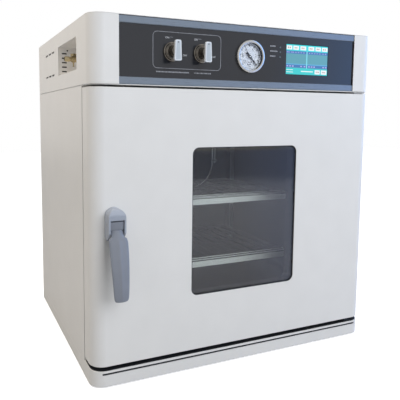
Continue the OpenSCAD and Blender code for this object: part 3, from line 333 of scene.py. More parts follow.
# The chamber's and shelves' steel is darker than bare stainless: painted shade for the dim inside.
SHADE_PAINTED_STEEL = rubbed_metal("stainless_painted_shade", "#5c5a58", "#6a6866", 0.34, 0.5, ALONG_X)
# The shelves' front edges get a pale matt steel as painted light, so they read as lit behind the
# glass.
PALE_LIT_STEEL = rubbed_metal("stainless_painted_light", "#f2f4f4", "#fafbfb", 0.45, 0.5, ALONG_X, 0.0)
ZINC = plated_metal("zinc_plate", "#9a9da2", "#b4b7bb", 0.38)
CHROME = plated_metal("chrome_plate", "#bfc1c4", "#d3d5d7", 0.16)
SATIN_CHROME = plated_metal("satin_chrome", "#bdbbb6", "#cfcdc8", 0.24)
DARK_CHROME = plated_metal("dark_chrome", "#6d6862", "#89837a", 0.18)
BRASS = plated_metal("turned_brass", "#a29270", "#c3b490", 0.32, 2)
PANE = clear_glass("float_glass", "#dcd9d4", "#f6f6f6")
THICK = clear_glass("toughened_glass", "#e6ecea", "#eef2f1", 1.18)
LENS = clear_glass("gauge_glass", "#f4f6f7", "#f4f6f7", 1.12)
print(len(bpy.data.materials), "materials")

# %% [markdown]
# ## Helpers for selecting and finishing
# Operators act on what is selected, so each helper starts from nothing selected. One picks
# vertices, edges or faces by where they are. The last one ends a piece: its place goes into its
# mesh, and it gets its finish and its body.

# %% Selecting and finishing
def only(piece):
    bpy.ops.object.select_all(action="DESELECT")
    piece.select_set(True)
    bpy.context.view_layer.objects.active = piece


def start(name, operator, **settings):
    """Adds a primitive or a text with nothing else selected."""
    bpy.ops.object.select_all(action="DESELECT")
    operator(**settings)
    bpy.context.object.name = name
    return bpy.context.object


def settle(piece):
    """Moves the place, the turn and the size of the object into its mesh."""
    only(piece)
    bpy.ops.object.transform_apply(location=True, rotation=True, scale=True)


def pick(piece, kind, test):
    """Selects the vertices, edges or polygons that pass a test on their middle and direction."""
    mesh = piece.data
    for group in (mesh.vertices, mesh.edges, mesh.polygons):
        group.foreach_set("select", [False] * len(group))
    count = 0
    for element in getattr(mesh, kind):
        if kind == "vertices":
            chosen = test(element.co)
        elif kind == "edges":
            a, b = (mesh.vertices[i].co for i in element.vertices)
            chosen = test((a + b) / 2, (b - a).normalized())
        else:
            chosen = test(element.center, element.normal)
        element.select = bool(chosen)
        count += element.select
    modes = [kind == "vertices", kind == "edges", kind == "polygons"]
    bpy.context.tool_settings.mesh_select_mode = modes
    return count


def edit(piece, operator, everything=False, **settings):
    """Runs one edit-mode operator on what is picked, or on everything."""
    only(piece)
    bpy.ops.object.mode_set(mode="EDIT")
    if everything:
        bpy.ops.mesh.select_all(action="SELECT")
    operator(**settings)
    bpy.ops.object.mode_set(mode="OBJECT")


def edit_all(piece, operator, **settings):
    edit(piece, operator, True, **settings)


def apply_modifier(piece, kind, **settings):
    only(piece)
    modifier = piece.modifiers.new(kind.lower(), kind)
    for name, value in settings.items():
        setattr(modifier, name, value)
    bpy.ops.object.modifier_apply(modifier=modifier.name)


def finish(piece, material, body, *stands_for, slot=None, smooth_deg=35, flat_faces=True):
    """Puts the piece's place into its mesh, gives it its finish and hangs it on its body.
    Large faces keep their own normals, so that a bevel doesn't bend the light across them."""
    settle(piece)
    bpy.ops.object.shade_smooth_by_angle(angle=math.radians(smooth_deg))
    if flat_faces:
        apply_modifier(piece, "WEIGHTED_NORMAL", mode="FACE_AREA", weight=100, keep_sharp=True)
    piece.data.materials.clear()
    piece.data.materials.append(material)
    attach(piece, body)
    if stands_for:
        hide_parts(*stands_for)
    return piece


print("selection helpers ready")

# %% [markdown]
# ## Helpers for modelling
# A cube between two corners and an outline spun round an axis start almost every new piece. A bevel
# on chosen edges makes the large rounds, and a bevel modifier breaks all the other edges.

# %% Modelling helpers
WELD = 1e-6


def soften(piece, width_mm, segments=2):
    """Breaks all edges between faces that meet at more than 35 degrees."""
    apply_modifier(piece, "BEVEL", width=width_mm * MM, segments=segments, limit_method="ANGLE",
                   angle_limit=math.radians(35), harden_normals=False)


def block(name, low, high, bevel_mm=0.0):
    """A cube with these two corners."""
    middle = [(a + b) / 2 for a, b in zip(low, high)]
    size = [b - a for a, b in zip(low, high)]
    piece = start(name, bpy.ops.mesh.primitive_cube_add, size=1, location=middle, scale=size)
    settle(piece)
    if bevel_mm:
        soften(piece, bevel_mm)
    return piece


def round_edges(piece, radius_mm, segments, test):
    """Bevels the edges that pass the test with a round of this radius."""
    if pick(piece, "edges", test):
        edit(piece, bpy.ops.mesh.bevel, offset=radius_mm * MM, segments=segments, profile=0.5,
             affect="EDGES")


def thicken(piece, thick_mm):
    apply_modifier(piece, "SOLIDIFY", thickness=thick_mm * MM, offset=1.0)


def turned(name, outline, centre, axis, steps=48):
    """Spins an outline of (radius, height) in mm round an axis, as on a lathe."""
    along = Vector(axis).normalized()
    side = along.orthogonal().normalized()
    points = [Vector(centre) + side * r * MM + along * h * MM for r, h in outline]
    piece = start(name, bpy.ops.mesh.primitive_plane_add, size=MM, location=points[0])
    bpy.context.tool_settings.mesh_select_mode = (True, False, False)
    bpy.ops.object.mode_set(mode="EDIT")
    bpy.ops.mesh.select_all(action="SELECT")
    bpy.ops.mesh.merge(type="CENTER")
    for a, b in zip(points, points[1:]):
        bpy.ops.mesh.extrude_region_move(TRANSFORM_OT_translate={"value": b - a})
    bpy.ops.mesh.select_all(action="SELECT")
    bpy.ops.mesh.spin(steps=steps, angle=2 * math.pi, center=centre, axis=along)
    bpy.ops.mesh.select_all(action="SELECT")
    bpy.ops.mesh.remove_doubles(threshold=WELD)
    bpy.ops.mesh.normals_make_consistent(inside=False)
    bpy.ops.object.mode_set(mode="OBJECT")
    return piece


def join(name, pieces):
    only(pieces[0])
    for piece in pieces[1:]:
        piece.select_set(True)
    bpy.ops.object.join()
    pieces[0].name = name
    return pieces[0]


def copied(piece, name):
    other = piece.copy()
    other.data = piece.data.copy()
    other.name = name
    scene.collection.objects.link(other)
    return other


def moved(piece, x_mm=0.0, y_mm=0.0):
    piece.data.transform(Matrix.Translation(Vector((x_mm * MM, y_mm * MM, 0))))
    return piece


print("modelling helpers ready")

# %% [markdown]
# ## Welded copies
# A construction node arrives as loose triangles with razor edges. A copy is welded, its flat
# triangles are merged back into faces, and a narrow bevel breaks its edges, as folding, casting or
# a coat of paint does on the real piece. The copy then stands for the node. The table gives each
# node its finish and its bevel in millimetres. The six nodes that are missing from it are modelled
# again further down.

# %% Welded copies
FLAT_DEG = 0.3


def dress(node, material, bevel_mm):
    source = nodes[node]
    piece = copied(source, node + "_finished")
    piece.parent = None
    for key in list(piece.keys()):
        del piece[key]
    edit_all(piece, bpy.ops.mesh.remove_doubles, threshold=WELD)
    edit_all(piece, bpy.ops.mesh.dissolve_limited, angle_limit=math.radians(FLAT_DEG),
             delimit={"NORMAL"})
    if bevel_mm:
        soften(piece, bevel_mm)
    return finish(piece, material, source["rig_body"], node, smooth_deg=40)


FINISH = {
    "base_tray": (PAINT, 0.5), "levelling_feet": (RUBBER, 0.8), "left_side_panel": (PAINT, 0.5),
    "right_side_panel": (PAINT, 0.5), "rear_panel": (PAINT, 0.4), "front_frame": (PAINT, 0.4),
    # The chamber's darker steel is painted shade.
    "latch_strike": (ZINC, 0.3), "chamber": (SHADE_PAINTED_STEEL, 0.4), "chamber_ribs": (ZINC, 0.0),
    "door_gasket": (SILICONE, 1.5), "heater_mats": (MAT, 0.0), "insulation_slabs": (WOOL, 2.0),
    "cradle_posts": (ZINC, 0.5), "shelf_racks": (STEEL, 0.3), "temperature_probe": (CHROME, 0.3),
    "head_floor": (PAINT, 0.4), "head_left_side": (PAINT, 0.4), "head_right_side": (PAINT, 0.4),
    # The recess's lighter paint is painted light.
    "head_top": (PAINT, 0.5), "head_rear": (PAINT, 0.4), "port_recess": (RECESS_PAINTED_LIGHT, 0.3),
    "vacuum_port": (BRASS, 0.3), "trim_strips": (TRIM, 0.4), "control_fascia": (FILM, 0.2),
    "touch_screen": (BLACK, 0.3), "controller_board": (BOARD, 0.3), "indicator_lamps": (UNLIT, 0.3),
    "gauge_dial": (DIAL, 0.0), "gauge_glass": (LENS, 0.0), "valve_bodies": (BRASS, 0.4),
    "vacuum_lines": (HOSE, 0.0), "power_supply": (ZINC, 0.4), "relay_heatsink": (ZINC, 0.3),
    "cable_gland": (BLACK, 0.5), "switch_housing": (BLACK, 0.4), "upper_hinge": (PAINT, 0.4),
    "lower_hinge": (BLACK, 0.4), "case_screws": (ZINC, 0.15), "door_shell": (PAINT, 0.5),
    "door_liner": (STEEL, 0.3), "window_seal": (RUBBER, 0.4), "window_pane": (PANE, 0.0),
    # The window tunnel is black as painted shade for the dark duct between the panes.
    "window_tunnel": (BLACK, 0.3), "glass_carrier": (STEEL, 0.5), "vacuum_glass": (THICK, 0.8),
    "glass_clips": (ZINC, 0.3), "hinge_blocks": (ZINC, 0.5), "handle_housing": (HOUSING, 1.2),
    "handle_pin": (ZINC, 0.3), "latch_guide": (ZINC, 0.3), "latch_bar": (ZINC, 0.3),
    # The shelves' darker steel is painted shade.
    "switch_rocker": (RED, 0.5), "upper_shelf": (SHADE_PAINTED_STEEL, 0.3),
    "lower_shelf": (SHADE_PAINTED_STEEL, 0.3),
}
for node, (material, bevel_mm) in FINISH.items():
    dress(node, material, bevel_mm)
print(len(FINISH), "nodes welded and softened")

# %% [markdown]
# ## Places in millimetres
# A drawing of the oven measures from its middle, from the door's face and from the underside of the
# plinth. This one function turns such a place into the frame's metres, so that every new piece can
# be read like a drawing.

# %% Places
MIDDLE_Y, FEET = 249.0, 3.0
CONTROL_Z, FASCIA_Y = 637.5, 3.5
FRONT, SIDEWAYS, UPWARDS = (0, -1, 0), (1, 0, 0), (0, 0, 1)


def at(x, y, z):
    return Vector((x, y - MIDDLE_Y, z + FEET)) * MM


def to_mm(point):
    return point.x / MM, point.y / MM + MIDDLE_Y, point.z / MM - FEET


print("the control row is at", [round(v, 4) for v in at(0, FASCIA_Y, CONTROL_Z)])

# %% [markdown]
# ## Printing and thin tiles
# Screen printing is a film of ink, and the picture on the display is a set of flat fields. Both are
# drawn with one helper: a plane turned to face the front, its corners rounded by a vertex bevel,
# hollowed to an outline by an inset where only a line is wanted, and given a tenth of a millimetre
# of thickness by Solidify.

# %% Tiles
CAP_SHARE = 0.7
LETTER_HALF = 0.05


def flat(x0, x1, z0, z1, y, corner_mm=0.0, line_mm=0.0):
    """A plane in the X and Z direction; with line_mm only its outline is left."""
    piece = start("tile", bpy.ops.mesh.primitive_plane_add, size=1,
                  location=at((x0 + x1) / 2, y, (z0 + z1) / 2), rotation=(math.pi / 2, 0, 0))
    piece.scale = ((x1 - x0) * MM, (z1 - z0) * MM, 1)
    settle(piece)
    if corner_mm:
        edit_all(piece, bpy.ops.mesh.bevel, offset=corner_mm * MM, segments=6, profile=0.5,
                 affect="VERTICES")
    if line_mm:
        edit_all(piece, bpy.ops.mesh.inset, thickness=line_mm * MM)
        edit(piece, bpy.ops.mesh.delete, type="FACE")
    return piece


def tiles(name, material, body, rects, y, thick_mm=0.1, corner_mm=0.0, line_mm=0.0):
    """One piece from many thin plates (x0, x1, z0, z1), all with their backs at y."""
    piece = join(name, [flat(*rect, y, corner_mm, line_mm) for rect in rects])
    thicken(piece, thick_mm)
    return finish(piece, material, body)


def lettering(words, x, z, y, tall_mm):
    """Raised letters or figures that face the front, made a mesh before they are placed."""
    text = start("letters", bpy.ops.object.text_add)
    text.data.body = words
    text.data.size = tall_mm * MM / CAP_SHARE
    text.data.align_x, text.data.align_y = "CENTER", "CENTER"
    text.data.extrude = LETTER_HALF * MM
    text.data.resolution_u = 3
    bpy.ops.object.convert(target="MESH")
    text = bpy.context.object
    text.rotation_euler = (math.pi / 2, 0, 0)
    text.location = at(x, y - LETTER_HALF, z)
    settle(text)
    return text


def dashes(x0, x1, z, tall, pattern):
    """A row of short bars for a line of small print: the pattern gives lengths and gaps in turn."""
    rects, x, step = [], x0, 0
    while x < x1:
        length = pattern[step % len(pattern)]
        if step % 2 == 0:
            rects.append((x, min(x + length, x1), z - tall / 2, z + tall / 2))
        x += length
        step += 1
    return rects


print("tile helpers ready")

# %% [markdown]
# ## Printing on the fascia
# A fine white line frames the two valves. ON and OFF stand beside each knob. Small captions run
# under the frame and beside the three lamps; these are left as plain dashes.

# %% Fascia printing
LONG_WORDS = (2.2, 0.7, 1.4, 0.6, 3.1, 0.8, 1.8, 0.6, 2.6, 0.7)
SHORT_WORDS = (1.2, 1.5, 1.6, 1.3, 3.0, 0.8)
LAMP_WORDS = (2.4, 0.5, 1.6, 0.6, 2.9, 0.5)
CAPTION_Z, CAPTION_TALL, LAMP_TALL = 599.6, 2.2, 2.4

tiles("valve_frame_line", PRINT_GREY, "cabinet", [(-210, -64, 606, 674.5)], FASCIA_Y,
      corner_mm=9, line_mm=0.8)
words = [lettering("ON", x, 663.5, FASCIA_Y, 3.6) for x in (-180.5, -119.5)]
words += [lettering("OFF", x, 632.0, FASCIA_Y, 3.4) for x in (-143.5, -80.5)]
finish(join("valve_lettering", words), PRINT, "cabinet")
captions = dashes(-203, -134, CAPTION_Z, CAPTION_TALL, LONG_WORDS)
captions += dashes(-123, -86, CAPTION_Z, CAPTION_TALL, SHORT_WORDS)
captions += [(x0, x1, 664.6, 665.2) for x0, x1 in ((-175.4, -169.0), (-114.2, -108.0))]
for z, end in ((662.2, 66), (652.0, 71), (641.8, 66)):
    captions += dashes(53, end, z, LAMP_TALL, LAMP_WORDS)
tiles("caption_dashes", PRINT_GREY, "cabinet", captions, FASCIA_Y)
print(len(captions), "caption dashes and", len(words), "words")

# %% [markdown]
# ## The lit screen
# The display shows a row of white keys on a cyan bar, two teal fields with blue headers, and a
# turquoise bar with two more keys. A lit screen makes its own light, so each field is a thin tile
# of emission. The layers stand about a tenth of a millimetre apart, so that they never lie in one
# plane.

# %% Screen
SCREEN_X, SCREEN_TOP, GLASS_Y = 94.0, 669.5, 4.5
LAYER_STEP = 0.12
WHOLE, LEFT, RIGHT = (0.8, 111.2), (0.8, 53.5), (56, 111.2)
KEYS = [(1.2, 15.5), (18.5, 33), (37, 52), (58.5, 74), (77.5, 92), (95, 110.5)]
FOOT_KEYS = [(77, 91), (94, 109.5)]
FOOT_SIGNS = (80, 83.4, 86.8, 97, 100.4, 103.8)
UPPER_READINGS = (2, 6, 13, 17, 24, 31, 38, 45, 60, 67, 74, 81, 88, 97, 104)
LOWER_READINGS = (2, 9, 16, 38, 47, 59, 66, 73, 98, 105)


def on_screen(u0, u1, v0, v1):
    """A field given from the picture's upper left corner, in millimetres."""
    return SCREEN_X + u0, SCREEN_X + u1, SCREEN_TOP - v1, SCREEN_TOP - v0


def screen_layer(name, colour, fields, layer, corner_mm=0.0):
    rects = [on_screen(*field) for field in fields]
    return tiles(name, lit_colour("lit_" + name, colour), "cabinet", rects,
                 GLASS_Y - LAYER_STEP * layer, corner_mm=corner_mm)


screen_layer("fields", "#5fa3b3", [(*WHOLE, 0.8, 63.2)], 0)
screen_layer("key_bar", "#3ddde6", [(*WHOLE, 0.8, 13.6)], 1)
screen_layer("foot_bar", "#3ccfd2", [(*WHOLE, 49.5, 63.2)], 1)
screen_layer("headers", "#4579b7", [(*side, *rows) for rows in ((14, 19.5), (42.6, 48.6))
                                    for side in (LEFT, RIGHT)], 1)
screen_layer("header_edges", "#62b2dc", [(*side, 40.5, 42.6) for side in (LEFT, RIGHT)], 1)
screen_layer("divider", "#86e0f0", [(LEFT[1], RIGHT[0], 13.6, 49.5)], 2)
screen_layer("keys", "#f4fbfb", [(*key, 3.2, 11.4) for key in KEYS]
             + [(*key, 52, 61) for key in FOOT_KEYS], 2, corner_mm=0.8)
screen_layer("key_signs", "#b99a98", [(a + lead, a + lead + 2.8, 6.0, 8.8)
                                      for a, b in KEYS for lead in (3, 7.5)]
             + [(u, u + 2, 55, 58) for u in FOOT_SIGNS], 3)
screen_layer("readings", "#b9b4f0", [(u, u + 2.6, 16, 17.8) for u in UPPER_READINGS]
             + [(u, u + 4.2, 44.6, 47.0) for u in LOWER_READINGS], 3)
screen_layer("foot_lines", "#e9fbfb", [(1.5, 19, 53, 54.2), (1.5, 19, 57.8, 59),
                                       (40, 72, 55, 57.2)], 2)
print(sum(m.name.startswith("lit_") for m in bpy.data.materials), "layers on the screen")

# %% [markdown]
# ## The vacuum gauge
# A gauge of this kind is a pressed cup with a rolled chrome ring. Both are bodies of revolution, so
# one outline is drawn in half section and spun round the gauge's axis, just as the real ring is
# rolled on a lathe. A thin black liner inside the cup is painted shade: it gives the dial the dark
# rim where the cup's wall is in shadow.

# %% Gauge case
GAUGE_X = 3.5
GAUGE_AT = at(GAUGE_X, FASCIA_Y, CONTROL_Z)
FINE_ROUND = 96
SHARP_DEG = 28
CUP = [(0, -3), (29, -3), (29, 5.8), (27.5, 5.85), (27.3, 6.1), (27.8, 6.4), (29.6, 6.5),
       (31.2, 6.4), (32.3, 5.9), (32.8, 5.1), (33, 4.0), (33, 0), (30.4, 0), (30.4, -26),
       (7, -26), (7, -43.9), (0, -43.9)]
LINER = [(28.9, -2.0), (28.9, 4.05), (28.2, 4.05), (27.9, -2.0), (28.9, -2.0)]
cup = turned("gauge_case_turned", CUP, GAUGE_AT, FRONT, FINE_ROUND)
finish(cup, SATIN_CHROME, "cabinet", "gauge_case", smooth_deg=SHARP_DEG)
# The black liner is painted shade at the edge of the dial.
liner = turned("gauge_shade_liner", LINER, GAUGE_AT, FRONT, FINE_ROUND)
finish(liner, BLACK, "cabinet", smooth_deg=SHARP_DEG)
print("gauge cup:", len(cup.data.polygons), "faces; liner:", len(liner.data.polygons))

# %% [markdown]
# ## The gauge's scale
# The printed scale turns through 270 degrees. For each of the two lengths one tick is drawn at the
# top of the dial, then copied and turned about the gauge's axis; every fifth tick is a long one.
# The figures stand upright at their angles.

# %% Gauge scale
DIAL_Y, DIAL_INK = 5.5, 0.08
TICK_END = 25.6
LONG_TICKS = range(-45, 226, 27)
SHORT_TICKS = [(54 * i - 450) / 10 for i in range(51) if i % 5]
FIGURE_RADIUS, FIGURE_TALL = 16.0, 6.2
FIGURES = {"10": 222, "8": 172, "6": 118, "4": 62, "2": 8, "0": -42}


def around(angle_deg, radius):
    a = math.radians(angle_deg)
    return GAUGE_X + radius * math.cos(a), CONTROL_Z + radius * math.sin(a)


def turn_about_gauge(piece, angle_deg):
    centre = at(GAUGE_X, DIAL_Y, CONTROL_Z)
    turn = Matrix.Rotation(math.radians(-angle_deg), 4, "Y")
    piece.matrix_world = Matrix.Translation(centre) @ turn @ Matrix.Translation(-centre)
    settle(piece)
    return piece


ticks = []
for length, width, angles in ((5.2, 1.7, LONG_TICKS), (3.2, 0.9, SHORT_TICKS)):
    top = CONTROL_Z + TICK_END
    first = flat(GAUGE_X - width / 2, GAUGE_X + width / 2, top - length, top, DIAL_Y)
    for angle in angles:
        ticks.append(turn_about_gauge(copied(first, "tick"), angle - 90))
    bpy.data.objects.remove(first)
scale = join("gauge_ticks", ticks)
thicken(scale, DIAL_INK)
finish(scale, NEEDLE, "cabinet")
figures = [lettering(figure, *around(angle, FIGURE_RADIUS), DIAL_Y, FIGURE_TALL)
           for figure, angle in FIGURES.items()]
finish(join("gauge_figures", figures), NEEDLE, "cabinet")
small_print = []
for half, down, tall, pattern in ((6, 11, 1.4, (2.0, 0.7, 3.1, 0.7)),
                                  (5, 15, 2.2, (3.6, 0.8, 2.2, 0.8)),
                                  (3.5, 18.6, 1.4, (2.8, 0.6))):
    small_print += dashes(GAUGE_X - half, GAUGE_X + half, CONTROL_Z - down, tall, pattern)
tiles("gauge_small_print", NEEDLE, "cabinet", small_print, DIAL_Y, DIAL_INK)
print(len(ticks), "ticks,", len(figures), "figures")

# %% [markdown]
# ## The needle
# The pointer is stamped from thin sheet and lacquered black: a wide tail for balance and a long
# taper. A plane is given the tail's width, cut once across at the hub and narrowed at its tip, then
# turned to the scale's zero. The hub is a small turned cap on the spindle.

# %% Needle
NEEDLE_Y, NEEDLE_THICK = 2.8, 0.8
TAIL, TIP, TAIL_HALF = 12, 22.5, 2.2
AT_TIP, AT_HUB = 0.28, 0.75
ZERO_DEG = -45
HUB = [(0, 2.4), (1.6, 2.3), (2.8, 1.9), (3.3, 1.5), (3.3, 0.9), (0, 0.9)]
blade = flat(GAUGE_X - TAIL, GAUGE_X + TIP, CONTROL_Z - TAIL_HALF, CONTROL_Z + TAIL_HALF,
             NEEDLE_Y)
hub_at = at(GAUGE_X, NEEDLE_Y, CONTROL_Z)
edit_all(blade, bpy.ops.mesh.bisect, plane_co=hub_at, plane_no=SIDEWAYS)
pick(blade, "vertices", lambda p: p.x > hub_at.x + 20 * MM)
edit(blade, bpy.ops.transform.resize, value=(1, 1, AT_TIP),
     center_override=hub_at + Vector((TIP * MM, 0, 0)))
pick(blade, "vertices", lambda p: abs(p.x - hub_at.x) < MM)
edit(blade, bpy.ops.transform.resize, value=(1, 1, AT_HUB), center_override=hub_at)
thicken(blade, NEEDLE_THICK)
blade = turn_about_gauge(blade, ZERO_DEG)
hub = turned("needle_hub", HUB, GAUGE_AT, FRONT, 32)
needle = finish(join("needle_stamped", [blade, hub]), NEEDLE, "needle", "gauge_needle")
print("needle:", [round(v / MM, 1) for v in needle.dimensions], "mm")

# %% [markdown]
# ## Valve rings
# Each of the two valves sits in a stepped ring of dark chrome. One ring is turned and copied.

# %% Rings
VALVE_X = (-170.5, -107.0)
RING = [(5, 0), (18.5, 0), (18.5, 2.4), (18.1, 3.4), (17.2, 4), (15.6, 4), (15.0, 3.5),
        (14.2, 3.5), (13.5, 4.1), (13.5, 6.0), (13.1, 6.7), (12.3, 7), (10.4, 7), (9.8, 6.4),
        (5, 6.4), (5, 0)]
ring = turned("valve_rings_turned", RING, at(VALVE_X[0], FASCIA_Y, CONTROL_Z), FRONT, 72)
second = moved(copied(ring, "second_ring"), x_mm=VALVE_X[1] - VALVE_X[0])
rings = join("valve_rings_turned", [ring, second])
finish(rings, DARK_CHROME, "cabinet", "valve_rings", smooth_deg=SHARP_DEG)
print("rings:", len(rings.data.polygons), "faces")

# %% [markdown]
# ## Knobs
# A knob is a round column with a bar across it that is a little narrower at the top. The bar starts
# as a cube: its top is drawn in, all its edges are bevelled, and its face is inset and pushed back,
# which leaves the raised rim that catches the light. The face is the same plastic as the rim, but
# it wears a darker copy of the silver: painted shade on the face and painted highlight on the rim.

# %% Knobs
COLUMN = [(0, 23.9), (8.6, 23.9), (9.4, 23.0), (9.6, 12), (10.6, 9.6), (11, 8.6), (10.6, 7.4),
          (3.7, 7.4), (3.7, -10.6), (0, -10.6)]
BAR_HALF, BAR_TALL, BAR_FACE, BAR_BACK = 7.3, 19, -26, -20.2
BAR_TOP_SHARE = 0.80
RIM, RIM_DEEP = 1.3, 0.45
MARK_UP, MARK_FACE = 14.6, 29.0
MARK = [(0, MARK_FACE + 0.1), (1.2, MARK_FACE + 0.05), (1.6, MARK_FACE - 0.2),
        (1.6, MARK_FACE - 1.2), (0, MARK_FACE - 1.2)]


def bar_grip(x):
    low = at(x - BAR_HALF, BAR_FACE, CONTROL_Z - BAR_TALL)
    high = at(x + BAR_HALF, BAR_BACK, CONTROL_Z + BAR_TALL)
    bar = block("bar", low, high)
    pick(bar, "vertices", lambda p: p.z > high.z - MM)
    edit(bar, bpy.ops.transform.resize, value=(BAR_TOP_SHARE, 1, 1),
         center_override=(at(x, 0, 0).x, low.y, high.z))
    round_edges(bar, 2.6, 4, lambda m, d: abs(d.y) > 0.9)
    soften(bar, 0.9, 3)
    pick(bar, "polygons", lambda c, n: n.y < -0.99 and abs(c.y - low.y) < 1e-5)
    edit(bar, bpy.ops.mesh.inset, thickness=RIM * MM)
    edit(bar, bpy.ops.transform.translate, value=(0, RIM_DEEP * MM, 0))
    face = [p.index for p in bar.data.polygons if p.select]
    return bar, face


def knob(node, x):
    """Bar, column and a small dark dot let into the bar's face, each with its own finish."""
    bar, face = bar_grip(x)
    column = turned("column", COLUMN, at(x, FASCIA_Y, CONTROL_Z), FRONT, 64)
    mark = turned("mark", MARK, at(x, FASCIA_Y, CONTROL_Z + MARK_UP), FRONT, 20)
    slots = [1 if i in face else 0 for i in range(len(bar.data.polygons))]
    slots += [2] * len(column.data.polygons) + [3] * len(mark.data.polygons)
    piece = finish(join(node + "_moulded", [bar, column, mark]), SILVER, node, node)
    # The face's darker silver is painted shade.
    for material in (KNOB_FACE_SHADED, DARK_CHROME, BLACK):
        piece.data.materials.append(material)
    piece.data.polygons.foreach_set("material_index", slots)
    return piece


knobs = [knob("vacuum_knob", VALVE_X[0]), knob("vent_knob", VALVE_X[1])]
print("knobs:", [len(k.data.polygons) for k in knobs], "faces")

# %% [markdown]
# ## The handle's lever
# The lever is what a hand closes on: a slender neck between the housing's cheeks, wide shoulders,
# and a crowned blade that leans away from the door and narrows to a round end. A table gives its
# oval sections: how far each lies below the pin, half its width and its thickness.

# %% Lever sections
HANDLE_X, PIN_Y, PIN_Z = -290.0, -13.0, 318.0
NECK, SHOULDER, LEAN_X = 12.6, 18.9, 1.3
CROWN_Y, CROWN_REACH, CROWN_START, CROWN_LONG = -27.0, 23.0, 9, 126
ASIDE_START, ASIDE_LONG, CROWN_GAP = 19, 15, 0.3
SECTIONS = [(8, NECK - 0.6, 12.5), (9.6, NECK, 13), (15, NECK, 12), (19.6, NECK, 7.5),
            (21.4, NECK, 7.3), (22.6, 15.4, 7.4), (25, 18.0, 8.2), (28.5, 18.6, 8.8),
            (33, 18.8, 9), (38, SHOULDER, 9.4), (60, SHOULDER - 0.5, 9), (85, 17.0, 8.8),
            (108, 15.8, 8.6), (122, 15.0, 8.4), (131, 14.2, 8.2), (134.6, 12.6, 7.8),
            (136.4, 9.6, 6.6)]


def lever_face(d):
    """How far in front of the door the lever's crown is, at d below its pin."""
    share = min(1.0, max(0.0, d - CROWN_START) / CROWN_LONG)
    return CROWN_Y - CROWN_REACH * math.sin(math.radians(90 * share))


def section_at(d, thick):
    sideways = LEAN_X * min(1.0, max(0.0, (d - ASIDE_START) / ASIDE_LONG))
    return at(HANDLE_X + sideways, lever_face(d) + thick / 2 + CROWN_GAP, PIN_Z - d)


print("lever sections:", len(SECTIONS))

# %% [markdown]
# ## Lofting the lever
# The first section is drawn at the neck, then extruded, moved and resized section by section down
# the lever. The middle of its front is pulled forward and creased and the flanks are pushed back,
# which leaves a soft ridge. Subdivision rounds the rest.

# %% Lever
MIDDLE, FLANKS, FRONT_DEEP = (-1, 0.7), (4, 9), 3
RIDGE_PULL, FLANK_PUSH = 0.9, 0.5


def on_crown(point, aside, depth=(0, 150)):
    """True on the lever's front, between two distances from its middle and two below its pin."""
    x, y, z = to_mm(point)
    d = PIN_Z - z
    return (aside[0] < abs(x - HANDLE_X - LEAN_X) < aside[1] and depth[0] < d < depth[1]
            and y < lever_face(d) + FRONT_DEEP)


depth, half, thick = SECTIONS[0]
centre = section_at(depth, thick)
lever = start("handle_lever_cast", bpy.ops.mesh.primitive_circle_add, vertices=16, radius=1,
              fill_type="NGON", location=centre)
lever.scale = (half * MM, thick / 2 * MM, 1)
settle(lever)
bpy.ops.object.mode_set(mode="EDIT")
bpy.ops.mesh.select_all(action="SELECT")
for depth, next_half, next_thick in SECTIONS[1:]:
    target = section_at(depth, next_thick)
    bpy.ops.mesh.extrude_region_move(TRANSFORM_OT_translate={"value": target - centre})
    bpy.ops.transform.resize(value=(next_half / half, next_thick / thick, 1),
                             center_override=target)
    centre, half, thick = target, next_half, next_thick
bpy.ops.mesh.select_all(action="SELECT")
bpy.ops.mesh.normals_make_consistent(inside=False)
bpy.ops.object.mode_set(mode="OBJECT")
pick(lever, "vertices", lambda p: on_crown(p, MIDDLE, (20, 130)))
edit(lever, bpy.ops.transform.translate, value=(0, -RIDGE_PULL * MM, 0))
pick(lever, "vertices", lambda p: on_crown(p, FLANKS, (24, 150)))
edit(lever, bpy.ops.transform.translate, value=(0, FLANK_PUSH * MM, 0))
pick(lever, "edges", lambda m, d: abs(d.z) > 0.7 and on_crown(m, MIDDLE))
edit(lever, bpy.ops.transform.edge_crease, value=0.85)
apply_modifier(lever, "SUBSURF", levels=2, render_levels=2)
print("lever blade:", len(lever.data.polygons), "faces")

# %% [markdown]
# ## The lever's hinge and crank
# Above the blade a barrel turns on the handle's pin, and behind it a short crank reaches through
# the door to the latch bar. They are spun and boxed, bevelled, and joined to the blade, so that one
# piece stands for the node.

# %% Lever hinge and crank
CRANK_REACH, CRANK_TILT = 23, 20
BARREL = [(3.05, 0), (9.6, 0), (10.4, 0.8), (10.4, 24.8), (9.6, 25.6), (3.05, 25.6), (3.05, 0)]
CRANK_END = [(0, 0), (4.1, 0), (4.5, 0.4), (4.5, 6), (2.5, 6), (2.5, 12.6), (2.1, 13), (0, 13)]
barrel = turned("barrel", BARREL, at(HANDLE_X - 12.8, PIN_Y, PIN_Z), SIDEWAYS, 48)
crank = block("crank", at(HANDLE_X - 6, PIN_Y, PIN_Z - 4.5),
              at(HANDLE_X, PIN_Y + CRANK_REACH, PIN_Z + 4.5), 0.8)
crank_end = turned("crank_end", CRANK_END, at(HANDLE_X - 6, PIN_Y + CRANK_REACH, PIN_Z),
                   SIDEWAYS, 32)
head = block("head", at(HANDLE_X - 12.6, -25.2, PIN_Z - 9.5),
             at(HANDLE_X + 12.6, PIN_Y, PIN_Z + 7.0))
round_edges(head, 2.2, 4, lambda m, d: abs(d.x) > 0.9 and m.y < at(0, -24, 0).y)
soften(head, 0.5)
arm = join("arm", [crank, crank_end])
pivot = at(HANDLE_X, PIN_Y, PIN_Z)
tilt = Matrix.Rotation(math.radians(CRANK_TILT), 4, "X")
arm.data.transform(Matrix.Translation(pivot) @ tilt @ Matrix.Translation(-pivot))
lever = join("handle_lever_cast", [lever, barrel, head, arm])
finish(lever, HANDLE, "lever", "handle_lever", smooth_deg=50, flat_faces=False)
print("lever with its hinge:", len(lever.data.polygons), "faces")
